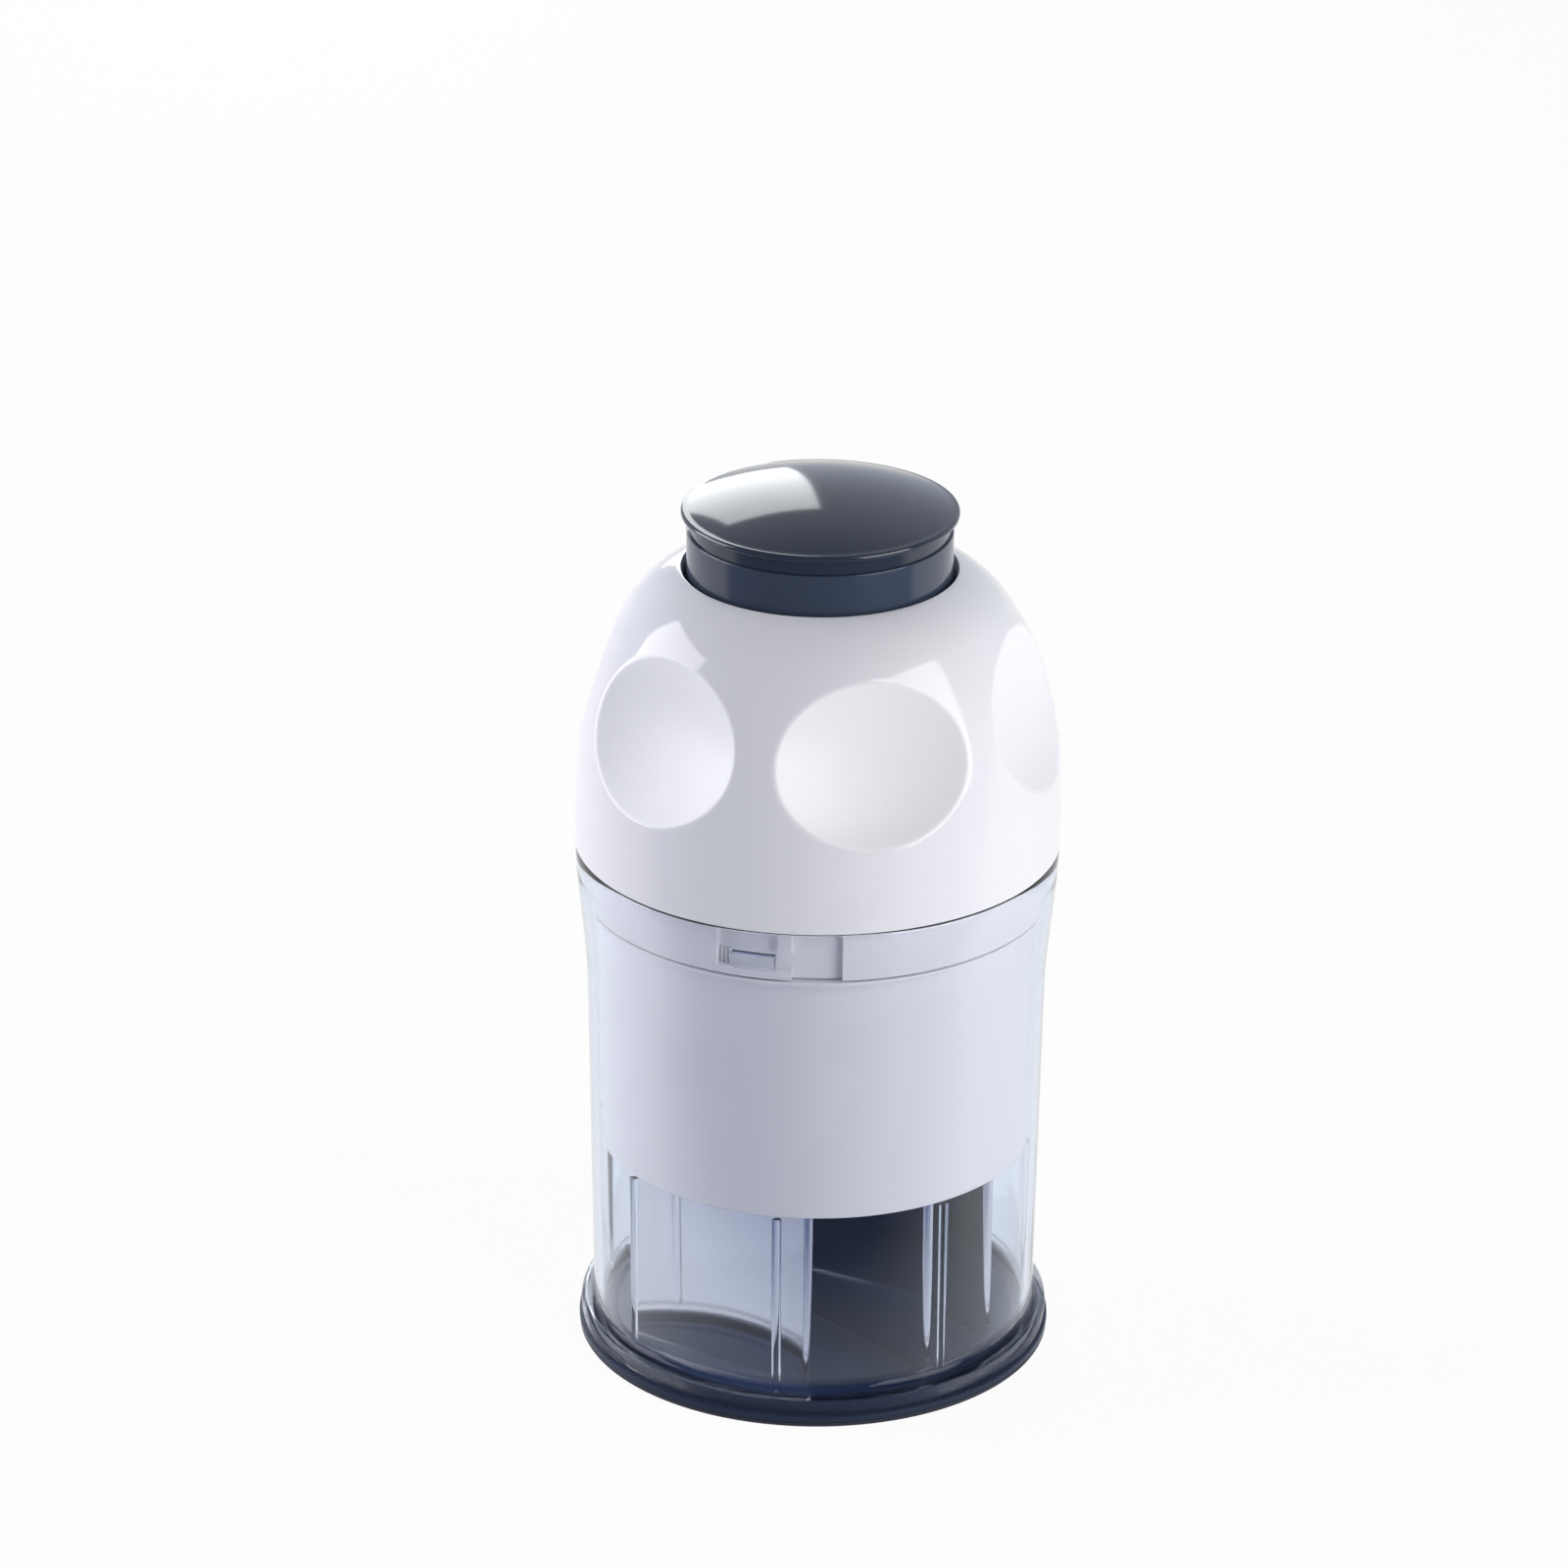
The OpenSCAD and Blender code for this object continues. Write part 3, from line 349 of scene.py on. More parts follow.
def moulded(name, colour, roughness, grain, wave, specular=0.5, inner=None):
    """Moulded plastic or rubber: a slow wave from the tool, a fine grain and uneven gloss.
    grain and wave are bump heights in millimetres. inner is a radius and the colour in it."""
    finish = Finish(bpy.data.materials.new(name))
    place = finish.node("TexCoord")[OBJECT]
    flow, speckle = mould_marks(place)
    dark = [part * 0.965 for part in colour]
    shade = finish.mix(flow * 0.6 + speckle * 0.4, rgb(*dark), rgb(*colour))
    if inner:
        inner_r, inner_colour = inner
        soft_edge = 0.4
        x, y = finish.node("SeparateXYZ", inputs={"Vector": place})[:2]
        squared = x * x + y * y
        within = (inner_r * MM - squared.maths("SQRT", squared)) / (soft_edge * MM)
        shade = finish.mix(within.share(), shade, rgb(*inner_colour))
    skin = bumped(speckle, grain, bumped(flow, wave))
    surface = finish.node("BsdfPrincipled", inputs={
        "Base Color": shade, "Roughness": roughness * 0.9 + flow * roughness * 0.2,
        "Specular IOR Level": specular, "Normal": skin})
    finish.node("OutputMaterial", inputs={"Surface": surface[0]})
    return finish.owner


base_high = box_mm("base_dish")[1]
ring_high = box_mm("antislip_ring")[1]
cup_low, cup_high = box_mm("container")
foot_r = base_high.x
ring_w = 7.8
underside_z = ring_high.z - 0.2
underside_r = foot_r - ring_w - 0.05
edge_z = ring_high.z + 1.4
floor_z = edge_z + 2.4
floor_r = 45.15
locator_r = 48.85
locator_in_r = locator_r - 0.9
locator_top_z = base_high.z
groove_out_r = 47.5
groove_in_r = 45.7
groove_z = edge_z - 0.65
drain_r = 43.1
drain_half_w = 0.6
drain_depth = 0.5

base_dish = turned("base_moulding", rounded([
    (0, underside_z, 0), (underside_r, underside_z, 0.1), (underside_r, ring_high.z, 0),
    (foot_r, ring_high.z, 0.35), (foot_r, edge_z, 0.35),
    (locator_r, edge_z, 0), (locator_r, locator_top_z, 0.2), (locator_in_r, locator_top_z, 0.2),
    (locator_in_r, edge_z, 0), (groove_out_r, edge_z, 0), (groove_out_r, groove_z, 0),
    (groove_in_r, groove_z, 0), (floor_r, groove_z, 0), (floor_r, floor_z, 0.3),
    (drain_r + drain_half_w, floor_z, 0.15), (drain_r, floor_z - drain_depth, 0.3),
    (drain_r - drain_half_w, floor_z, 0.15), (0, floor_z, 0)]))
anthracite = moulded("anthracite_satin", (0.027, 0.038, 0.072), 0.26, 0.0015, 0.02, 0.10,
                     (floor_r, (0.022, 0.040, 0.098)))
dressed(base_dish, "base", "anthracite_plastic", anthracite, "base_dish")


# ---------- Anti-slip ring ----------
# A thin rubber ring under the base's edge, which the whole chopper stands on. A shallow
# groove runs round its underside.

grip_r = foot_r - ring_w / 2
grip_half_w = 0.5
grip_depth = 0.5
antislip = turned("rubber_foot", rounded([
    (foot_r - ring_w, 0, 0.1), (grip_r - grip_half_w, 0, 0), (grip_r, grip_depth, 0.2),
    (grip_r + grip_half_w, 0, 0), (foot_r - 0.1, 0, 0.4), (foot_r - 0.1, ring_high.z, 0.1),
    (foot_r - ring_w, ring_high.z, 0)]))
black_rubber = moulded("matt_black_rubber", (0.016, 0.020, 0.036), 0.6, 0.006, 0.02, 0.35)
dressed(antislip, "base", "dark_rubber", black_rubber, "antislip_ring")


# ---------- Base seal ----------
# A moulded grey silicone ring that lies in the base's groove. The cup's wall stands on it,
# and it keeps the juice in.

seal_low, seal_high = box_mm("base_seal")
seal_in_r = groove_in_r + 0.05
seal = turned("silicone_seal", rounded([
    (seal_in_r, seal_low.z, 0), (seal_high.x, seal_low.z, 0), (seal_high.x, seal_high.z, 0.2),
    (seal_in_r, seal_high.z, 0.2)]))
grey_silicone = moulded("grey_silicone", (0.10, 0.11, 0.14), 0.5, 0.004, 0.02)
dressed(seal, "base", "grey_rubber", grey_silicone, "base_seal")


# ---------- Clear cup ----------
# Injection-moulded clear copolyester, 111 high. Eight half-round ribs stiffen it inside up to
# the guard's edge, the foot has a thick rounded flange, and three lugs stand in near the rim.

cup_wall = 1.8
wall_foot_r = 47.5
waist_r = 48.7
waist_z = 86.0
rim_r = 51.0
flare_top_z = 109.0
flange_r = 50.3
flange_top_z = cup_low.z + 4.1
flange_skirt_t = 1.2
groove_top_z = cup_low.z + 2.6
rib_count = 8
rib_azimuth = -9.5
rib_r = 0.95
rib_centre_r = wall_foot_r - cup_wall + 0.35
rib_low_z = floor_z + 0.3
rib_top_z = cup_low.z + 43.9
lug_count = 3
lug_azimuth = -15.5
lug_angle = 11.0
lug_z = 104.65
lug_h = 3.3
lug_r = 47.13


def columns_at(*edges, every, fine=0.02):
    """Azimuths all round, with a close pair of them at each edge to keep it sharp."""
    columns = set(np.round(np.arange(0, 360, every), 4))
    for edge in edges:
        columns.update(np.round([(edge - fine) % 360, (edge + fine) % 360], 4))
    return np.array(sorted(columns))


def from_nearest(azimuth, first, count):
    """Degrees from the nearest of a count of features that are evenly spaced from the first."""
    step = 360 / count
    return (azimuth - first + step / 2) % step - step / 2


def cup_shape(azimuth, radius, height):
    """Brings the inner wall in at the ribs and the lugs."""
    inside = inner_wall[None, :] & (radius > 0)
    across = radius * np.sin(np.radians(from_nearest(azimuth, rib_azimuth, rib_count)))
    rib = rib_centre_r - np.sqrt(np.clip(rib_r ** 2 - across ** 2, 0, None))
    on_rib = inside & (np.abs(across) < rib_r) & (height > rib_low_z) & (height < rib_top_z)
    radius = np.where(on_rib, np.minimum(radius, rib), radius)
    off = from_nearest(azimuth, lug_azimuth, lug_count)
    on_lug = inside & (np.abs(off) < lug_angle / 2) & (height > lug_z) & (height < lug_z + lug_h)
    return np.where(on_lug, lug_r, radius), height


def wall_r(z):
    """Outer radius of the cup's wall, a long taper that bends softly into the flare."""
    taper = wall_foot_r + (waist_r - wall_foot_r) * (z - cup_low.z) / (waist_z - cup_low.z)
    flare = waist_r + (rim_r - waist_r) * (z - waist_z) / (flare_top_z - waist_z)
    soft = 0.25
    bent = (taper + flare + np.sqrt((taper - flare) ** 2 + soft ** 2)) / 2
    return (bent + rim_r - np.sqrt((bent - rim_r) ** 2 + soft ** 2 / 4)) / 2


# levels this close to both sides of an edge keep it sharp
near = 0.01
inner_z = np.unique(np.concatenate([
    np.linspace(cup_low.z + 0.3, rib_low_z, 3),
    [rib_low_z + near, rib_top_z - near, rib_top_z + near],
    np.linspace(rib_low_z, rib_top_z - 0.2, 12), np.linspace(rib_top_z, cup_high.z - 0.4, 30),
    [lug_z - near, lug_z + near, lug_z + lug_h - near, lug_z + lug_h + near]]))
wall_low_z = flange_top_z + 3
inner_points = [(wall_r(z) - cup_wall, z) for z in inner_z]
outer_points = [(wall_r(z), z) for z in np.linspace(cup_high.z - 0.6, wall_low_z, 44)]
flange_in_r = flange_r - flange_skirt_t
foot_points = rounded([(wall_r(wall_low_z), wall_low_z, 0),
                       (wall_r(flange_top_z), flange_top_z, 2.0),
                       (flange_r, flange_top_z, flange_skirt_t), (flange_r, cup_low.z, 0.3),
                       (flange_in_r, cup_low.z, 0.3), (flange_in_r, groove_top_z, 0.2),
                       (wall_foot_r, groove_top_z, 0.2), (wall_foot_r, cup_low.z, 0.2),
                       (wall_foot_r - cup_wall, cup_low.z, 0)], 8)[1:]
top_r = wall_r(cup_high.z)
rim = [(top_r - cup_wall + 0.35, cup_high.z), (top_r - 0.45, cup_high.z),
       (top_r - 0.13, cup_high.z - 0.2)]
# listed up the inside and down the outside, then turned round to run anticlockwise
cup_outline = np.array([*inner_points, *rim, *outer_points, *foot_points])[::-1]
inner_wall = np.zeros(len(cup_outline), bool)
inner_wall[-len(inner_points):] = True
rib_edge = math.degrees(math.asin(rib_r / (rib_centre_r - 0.2)))
rib_columns = [rib_azimuth + i * 360 / rib_count + rib_edge * math.sin(math.radians(a))
               for i in range(rib_count) for a in range(-90, 91, 10)]
lug_columns = [lug_azimuth + i * 360 / lug_count + side * lug_angle / 2
               for i in range(lug_count) for side in (-1, 1)]
cup = turned("clear_cup", cup_outline, columns_at(*lug_columns, *rib_columns, every=1.5),
             cup_shape, 40)

clear = Finish(bpy.data.materials.new("clear_copolyester"))
place = clear.node("TexCoord")[OBJECT]
scuff = noise(place, 700.0, 4.0)
glassy = clear.node("BsdfPrincipled", inputs={
    "Base Color": rgb(0.95, 0.961, 0.985), "Roughness": scuff.maths("POWER", scuff, 6.0) * 0.25,
    "IOR": 1.5, "Transmission Weight": 1.0, "Normal": bumped(noise(place, 30.0, 1.0), 0.003)})
let_through = clear.node("BsdfTransparent", inputs={"Color": rgb(0.965, 0.97, 0.98)})
# The foot's thin skirt lets the dark base show straight through, but for where it is seen edge
# on. Light for shadows and shading passes the whole cup unbent.
foot_straight = 0.92
edge_bent = 0.85
height = clear.node("SeparateXYZ", inputs={"Vector": place})[2]
foot = (wall_low_z * MM - height) / ((wall_low_z - flange_top_z) * MM)
edge_on = clear.node("LayerWeight", inputs={"Blend": 0.5})[1]
edge_on = edge_on.maths("POWER", edge_on, 4.0)
foot = foot.share() * (foot_straight - edge_on * edge_bent)
seen = clear.node("LightPath")
unbent = seen[SHADOW] + seen[DIFFUSE]
straight = unbent.maths("MAXIMUM", unbent, foot).share()
skin = clear.node("MixShader", inputs={0: straight, 1: glassy[0], 2: let_through[0]})
# the plastic's faint blue shows where the wall is seen edge on
tint = clear.node("VolumeAbsorption", inputs={"Color": rgb(0.36, 0.44, 0.66), "Density": 26.0})
clear.node("OutputMaterial", inputs={"Surface": skin[0], "Volume": tint[0]})
dressed(cup, "cup", "clear_plastic", clear.owner, "container")


# ---------- Blade guard ----------
# White satin polypropylene tube inside the cup. Its collar fills the cup's rim and holds the
# three bayonet slots: an open entry, a run over the lip and a rest pocket with detent ribs.

guard_low, guard_high = box_mm("blade_guard")
guard_r = 45.7
guard_bore_r = 43.6
collar_r = 48.23
collar_low_z = 102.8
collar_top_z = cup_high.z
spigot_r = guard_high.x
spigot_in_r = spigot_r - 2
mouth_r = guard_bore_r - 1.1
mouth_z = guard_low.z + 1
ring_r = collar_r - 0.1
ring_low_z = collar_low_z - 1.4
ring_top_z = collar_low_z - 0.5
plate_z = 108.5
plate_top_z = plate_z + 2.5
plate_hole_r = 30
slot_floor_r = lug_r - 0.6
lip_top_z = collar_low_z + 1.8
web_low_z = lug_z + lug_h + 0.6
slot_top_z = collar_top_z - 0.8
open_turn = 15.7
slot_play = 0.7
rest_start = -lug_angle / 2 - 3.8
rest_end = lug_angle / 2 + slot_play
entry_start = open_turn - lug_angle / 2 - slot_play
entry_end = open_turn + lug_angle / 2 + slot_play
detents = [rest_start + 0.5 + k * 1.1 for k in range(3)]
detent_angle = 0.5
detent_r = lug_r - 0.15


def guard_shape(azimuth, radius, height):
    """Cuts the bayonet slots into the collar."""
    on_collar = (radius > collar_r - 0.6) & (height < slot_top_z) & (height > collar_low_z - 0.1)
    off = from_nearest(azimuth, lug_azimuth, lug_count)
    rest = (off > rest_start) & (off < rest_end) & (height > lip_top_z)
    run = (off >= rest_end) & (off <= entry_start) & (height > lip_top_z) & (height < web_low_z)
    entry = (off > entry_start) & (off < entry_end)
    cut = on_collar & (rest | run | entry)
    radius = np.where(cut, slot_floor_r, radius)
    for start in detents:
        ridge = cut & (off > start) & (off < start + detent_angle) & (height < lug_z + lug_h)
        radius = np.where(ridge & (height > lip_top_z), detent_r, radius)
    return radius, height


guard_columns = [lug_azimuth + i * 360 / lug_count + edge for i in range(lug_count)
                 for edge in (rest_start, rest_end, entry_start, entry_end,
                              *detents, *[d + detent_angle for d in detents])]
collar_levels = [level + side * near
                 for level in (lip_top_z, lug_z + lug_h, web_low_z, slot_top_z)
                 for side in (-1, 1)]
guard = turned("guard_tube", rounded([
    (mouth_r, guard_low.z, 0.3), (guard_r, guard_low.z, 0.5),
    (guard_r, ring_low_z, 0.2), (ring_r, ring_low_z, 0.1), (ring_r, ring_top_z, 0.1),
    (guard_r, ring_top_z, 0), (guard_r, collar_low_z, 0), (collar_r, collar_low_z, 0.15),
    *[(collar_r, z, 0) for z in collar_levels], (collar_r, collar_top_z - 0.1, 0),
    (spigot_r, collar_top_z, 0), (spigot_r, guard_high.z, 0.4),
    (spigot_in_r, guard_high.z, 0.3), (spigot_in_r, plate_top_z, 0.3),
    (plate_hole_r, plate_top_z, 0), (plate_hole_r, plate_z, 0), (guard_bore_r, plate_z, 0.3),
    (guard_bore_r, mouth_z, 0), (mouth_r, mouth_z, 0)], 4),
    columns_at(*guard_columns, every=2.0), guard_shape)
satin_white = moulded("satin_white", (0.84, 0.835, 0.85), 0.38, 0.004, 0.03)
dressed(guard, "head", "white_satin_plastic", satin_white, "blade_guard")


# ---------- Zigzag blade ----------
# One strip of polished stainless steel, folded five times into six panels that stand on the
# base. Its lower edge is ground on both sides, and it keeps a faint grain along its length.

blade_low, blade_high = box_mm("zigzag_blade")
blade_r = 41.3
blade_t = 0.8
edge_t = 0.15
bevel_h = 1.6
fold_r = 0.9
fold_steps = 28
# the strip's start, its five folds with the way that each turns, and its end
blade_azimuth = 36
fold_azimuths = [blade_azimuth + a for a in (-101, -38, -164, 0, 164, 29, 104.5)]
fold_turns = [0, 1, -1, 1, -1, 1, 0]


def on_circle(radius, azimuth):
    turn = math.radians(azimuth)
    return np.array([radius * math.sin(turn), -radius * math.cos(turn)])


def beside(angle):
    """Outwards to the right of a panel that runs at this angle."""
    return np.array([math.sin(angle), -math.cos(angle)])


fold_centres = [on_circle(blade_r if side == 0 else blade_r - fold_r - blade_t / 2, azimuth)
                for azimuth, side in zip(fold_azimuths, fold_turns)]
panel_angles = []
for here, there, side, next_side in zip(fold_centres, fold_centres[1:],
                                        fold_turns, fold_turns[1:]):
    gap = there - here
    panel_angles.append(math.atan2(gap[1], gap[0])
                        + math.asin(fold_r * (side - next_side) / np.linalg.norm(gap)))


def strip_side(off):
    """Points along the strip, off the middle line by this much to the right."""
    points = [fold_centres[0] + off * beside(panel_angles[0])]
    for i in range(1, len(panel_angles)):
        side = fold_turns[i]
        sweep = side * ((side * (panel_angles[i] - panel_angles[i - 1])) % (2 * math.pi))
        for k in range(fold_steps + 1):
            angle = panel_angles[i - 1] + sweep * k / fold_steps
            points.append(fold_centres[i] + (side * fold_r + off) * beside(angle))
    points.append(fold_centres[-1] + off * beside(panel_angles[-1]))
    return points


blade_rows = [(blade_low.z, edge_t / 2), (blade_low.z + bevel_h, blade_t / 2),
              (blade_high.z, blade_t / 2)]
blade_points = []
for z, half in blade_rows:
    loop = strip_side(half) + strip_side(-half)[::-1]
    blade_points += [(x, y, z) for x, y in loop]
count = len(blade_points) // len(blade_rows)
half_count = count // 2
blade_faces = [(row * count + i, row * count + (i + 1) % count,
                (row + 1) * count + (i + 1) % count, (row + 1) * count + i)
               for row in range(len(blade_rows) - 1) for i in range(count)]
top = (len(blade_rows) - 1) * count
for i in range(half_count - 1):
    j = count - 1 - i
    blade_faces.append((i + 1, i, j, j - 1))
    blade_faces.append((top + i, top + i + 1, top + j - 1, top + j))
blade = made("steel_blade", blade_points, blade_faces, 25)

# the grain runs along the strip, so it is much finer from top to bottom
grain_scale = (40, 40, 2600)
steel = Finish(bpy.data.materials.new("polished_stainless"))
place = steel.node("TexCoord")[OBJECT]
drawn_out = steel.node("VectorMath", {"operation": "MULTIPLY"}, {0: place, 1: grain_scale})[0]
grain = noise(drawn_out, 1.0, 3.0)
mirror = steel.node("BsdfPrincipled", inputs={
    "Base Color": steel.mix(grain, rgb(0.66, 0.65, 0.69), rgb(0.72, 0.71, 0.75)),
    "Metallic": 1.0, "Roughness": noise(place, 60.0, 2.0) * 0.05 + 0.05,
    "Normal": bumped(grain, 0.0006)})
steel.node("OutputMaterial", inputs={"Surface": mirror[0]})
dressed(blade, "blade", "polished_blade_steel", steel.owner, "zigzag_blade")


# ---------- Wiper disc and blade carrier ----------
# The slotted disc in the guard's mouth scrapes the blade clean and turns with it. The carrier
# above it grips the blade's upper edge and turns on the stem's journal. Both are mouldings of
# satin plastic, a little greyer than the guard.

satin_natural = moulded("natural_white", (0.76, 0.77, 0.80), 0.42, 0.004, 0.03)


def dress_node(name, finish):
    """Gives a node of the frame a new finish."""
    mesh = nodes[name].data
    mesh.materials.clear()
    mesh.materials.append(finish)


for name in ("wiper_disc", "blade_carrier"):
    dress_node(name, satin_natural)


# ---------- Ratchet and cam ----------
# Two acetal rings with saw teeth: one on the carrier, one under the deck. They meet at the top
# of the stroke and turn the blade by one tooth. An acetal washer lies under the stem's shoulder.

acetal = moulded("grey_acetal", (0.52, 0.54, 0.58), 0.35, 0.003, 0.02)
for name in ("index_ratchet", "cam_ring", "thrust_washer"):
    dress_node(name, acetal)


# ---------- Guide deck ----------
# The white deck inside the head, screwed up into the housing with the guard between. Its tower
# carries a bronze bush for the stem, and its hub the spring's plated seat and the rubber stop.
# The stem, the screws and the washer on the stem's end are plated steel too.

dress_node("guide_deck", satin_white)
dress_node("stop_bumper", black_rubber)


def metal(name, colour, roughness, scale, depth):
    """Plated or turned metal with fine marks of this scale and depth."""
    finish = Finish(bpy.data.materials.new(name))
    marks = noise(finish.node("TexCoord")[OBJECT], scale, 3.0)
    dark = [part * 0.9 for part in colour]
    surface = finish.node("BsdfPrincipled", inputs={
        "Base Color": finish.mix(marks, rgb(*dark), rgb(*colour)), "Metallic": 1.0,
        "Roughness": marks * 0.08 + roughness, "Normal": bumped(marks, depth)})
    finish.node("OutputMaterial", inputs={"Surface": surface[0]})
    return finish.owner


dress_node("guide_bush", metal("sintered_bronze", (0.55, 0.40, 0.22), 0.4, 3000.0, 0.004))
plated = metal("bright_plate", (0.72, 0.73, 0.75), 0.14, 900.0, 0.002)
for name in ("deck_screws", "spring_seat", "knob_screw", "hub_washer", "hub_screw", "plunger_stem"):
    dress_node(name, plated)


# ---------- Return spring ----------
# Drawn stainless wire, 1.4 thick, wound on a mean radius of 11.4 with closed ends. It stands
# on the deck and lifts the knob's plate.

spring_low, spring_high = box_mm("return_spring")
wire_r = 0.7
coil_r = 11.4
end_pitch = 2.0
turns = 10
wire_low = spring_low.z + wire_r
open_rise = spring_high.z - wire_r - wire_low - 2 * end_pitch
per_turn = 28
sides = 12
path = []
for i in range((turns + 2) * per_turn + 1):
    turned_by = i / per_turn
    rise = (min(turned_by, 1) * end_pitch
            + np.clip(turned_by - 1, 0, turns) * open_rise / turns
            + max(0, turned_by - turns - 1) * end_pitch)
    angle = 2 * math.pi * turned_by
    path.append((coil_r * math.cos(angle), coil_r * math.sin(angle), wire_low + rise))
path = np.array(path)
along = np.gradient(path, axis=0)
along /= np.linalg.norm(along, axis=1)[:, None]
outward = path * (1, 1, 0) / coil_r
crosswise = np.cross(along, outward)
ring = np.radians(np.arange(sides) * 360 / sides)
wire_points = (path[:, None] + wire_r * (np.cos(ring)[None, :, None] * outward[:, None]
                                         + np.sin(ring)[None, :, None] * crosswise[:, None]))
wire_faces = [(i * sides + k, i * sides + (k + 1) % sides,
               (i + 1) * sides + (k + 1) % sides, (i + 1) * sides + k)
              for i in range(len(path) - 1) for k in range(sides)]
wire_faces.append(tuple(range(sides))[::-1])
wire_faces.append(tuple((len(path) - 1) * sides + k for k in range(sides)))
spring = made("coil_spring", wire_points.reshape(-1, 3), wire_faces, 60)
spring.data.materials.append(metal("drawn_wire", (0.60, 0.61, 0.64), 0.2, 1500.0, 0.003))
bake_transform(spring)
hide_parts("return_spring")


# ---------- Housing ----------
# The glossy white dome that the hand holds, 102.6 across and 61 high, with six scooped finger
# dimples. Three arcs run from the seam to the opening, where a short tube guides the knob.

dome_high = box_mm("upper_housing")[1]
seam_r = dome_high.x
seam_z = cup_high.z + 0.3
opening_z = dome_high.z
dome_wall = 2.6
guide_r = 28.2
guide_wall = 2.0
guide_low_z = opening_z - 34
# radius of each arc and the height above the seam where it starts
dome_arcs = [(200.0, 4.0), (60.0, 24.0), (24.4, 52.0)]
dimple_count = 6
dimple_azimuth = 14.3
dimple_across_r = 110.0
dimple_upright_r = 41.0
dimple_depth = 5.9
dimple_rise = 35.4
dimple_tilt = math.radians(16.2)
dimple_skin_r = seam_r - 3.6
dimple_wall = 2.2
rim_softness = 0.45
back_softness = 0.8
satin_edge = 0.3
halvings = 34


def dome_r(z, inset=0.0):
    """Radius of the dome at height z, drawn in by inset."""
    (lower, lower_rise), (shoulder, shoulder_rise), (top, top_rise) = dome_arcs
    low_c = np.array([seam_r - lower, seam_z + lower_rise])
    low_a = math.asin((seam_z + shoulder_rise - low_c[1]) / lower)
    mid_c = low_c + (lower - shoulder) * np.array([math.cos(low_a), math.sin(low_a)])
    mid_a = math.asin((seam_z + top_rise - mid_c[1]) / shoulder)
    top_c = mid_c + (shoulder - top) * np.array([math.cos(mid_a), math.sin(mid_a)])

    def arc(centre, radius):
        rise = np.clip(z - centre[1], -radius + inset, radius - inset)
        return centre[0] + np.sqrt((radius - inset) ** 2 - rise ** 2)

    low = np.where(z < low_c[1], seam_r - inset, arc(low_c, lower))
    # an inset arc ends where its centre line does
    mid_z = mid_c[1] + (shoulder - inset) * math.sin(low_a)
    top_z = top_c[1] + (top - inset) * math.sin(mid_a)
    return np.where(z < mid_z, low, np.where(z < top_z, arc(mid_c, shoulder), arc(top_c, top)))


def dimple_r(off, z, grown):
    """Radius of a dimple's hollow at height z, off degrees from its middle."""
    out = np.array([math.cos(dimple_tilt), 0, math.sin(dimple_tilt)])
    down = np.array([math.sin(dimple_tilt), 0, -math.cos(dimple_tilt)])
    skin = np.array([dimple_skin_r, 0, seam_z + dimple_rise])
    centre = skin + out * (dimple_across_r - dimple_depth)
    turn = np.radians(off)
    # the radius is between these, and each step halves the range
    near_r = np.full(off.shape, 34.0)
    far_r = np.full(off.shape, 62.0)
    for _ in range(halvings):
        middle = (near_r + far_r) / 2
        here = np.stack([middle * np.cos(turn), middle * np.sin(turn), z], -1) - centre
        level = np.hypot(here @ out, here[..., 1])
        inside = np.hypot(level - (dimple_across_r - dimple_upright_r), here @ down) \
            < dimple_upright_r + grown
        far_r = np.where(inside, middle, far_r)
        near_r = np.where(inside, near_r, middle)
    return middle


def softest(a, b, blend):
    """The smaller of two radii, with a rounded change from one to the other."""
    share = np.clip(0.5 + 0.5 * (b - a) / blend, 0, 1)
    return b * (1 - share) + a * share - blend * share * (1 - share)


def dome_shape(azimuth, radius, height):
    """Scoops the dimples out of the skin, and keeps the wall behind them."""
    off = from_nearest(azimuth, dimple_azimuth, dimple_count)
    for rows, grown, blend in ((skin_rows, 0.0, rim_softness),
                               (back_rows, dimple_wall, back_softness)):
        plain = radius[:, rows].copy()
        hollow = dimple_r(off[:, rows], height[:, rows], grown)
        radius[:, rows] = softest(plain, hollow, blend)
        scooped[:, rows] = np.clip((plain - radius[:, rows]) / satin_edge, 0, 1)
    return radius, height


# skin from the seam up, over the opening's edge, down the bore, round the guide tube's end
skin_z = np.concatenate([[seam_z + 0.3], np.linspace(seam_z + 1, seam_z + 12, 12),
                         np.arange(seam_z + 12.4, opening_z - 0.2, 0.4)])
skin_points = [(seam_r - 0.5, seam_z), (seam_r - 0.15, seam_z + 0.08)]
skin_points += [(float(dome_r(z)), z) for z in skin_z]
edge_r = float(dome_r(opening_z))
edge_points = [(edge_r + 0.12, opening_z - 0.02), (edge_r, opening_z),
               (edge_r - 0.08, opening_z - 0.1), (guide_r, opening_z - 2.3)]
guide_out_r = guide_r + guide_wall
tube_points = [(guide_r, guide_low_z + 0.2), (guide_r + 0.2, guide_low_z),
               (guide_out_r - 0.2, guide_low_z), (guide_out_r, guide_low_z + 0.2)]
back_z = [z for z in np.arange(opening_z - 3, seam_z + 0.5, -0.8)
          if dome_r(z, dome_wall) > guide_out_r + 0.3]
back_points = [(guide_out_r, back_z[0])]
back_points += [(float(dome_r(z, dome_wall)), z) for z in back_z]
back_points += [(seam_r - dome_wall, seam_z + 0.4), (seam_r - dome_wall, seam_z)]
dome_outline = skin_points + edge_points + tube_points + back_points
skin_rows = slice(2, len(skin_points))
back_rows = slice(len(dome_outline) - len(back_points) + 1, len(dome_outline) - 2)
dome_azimuths = np.arange(0, 360, 0.5)
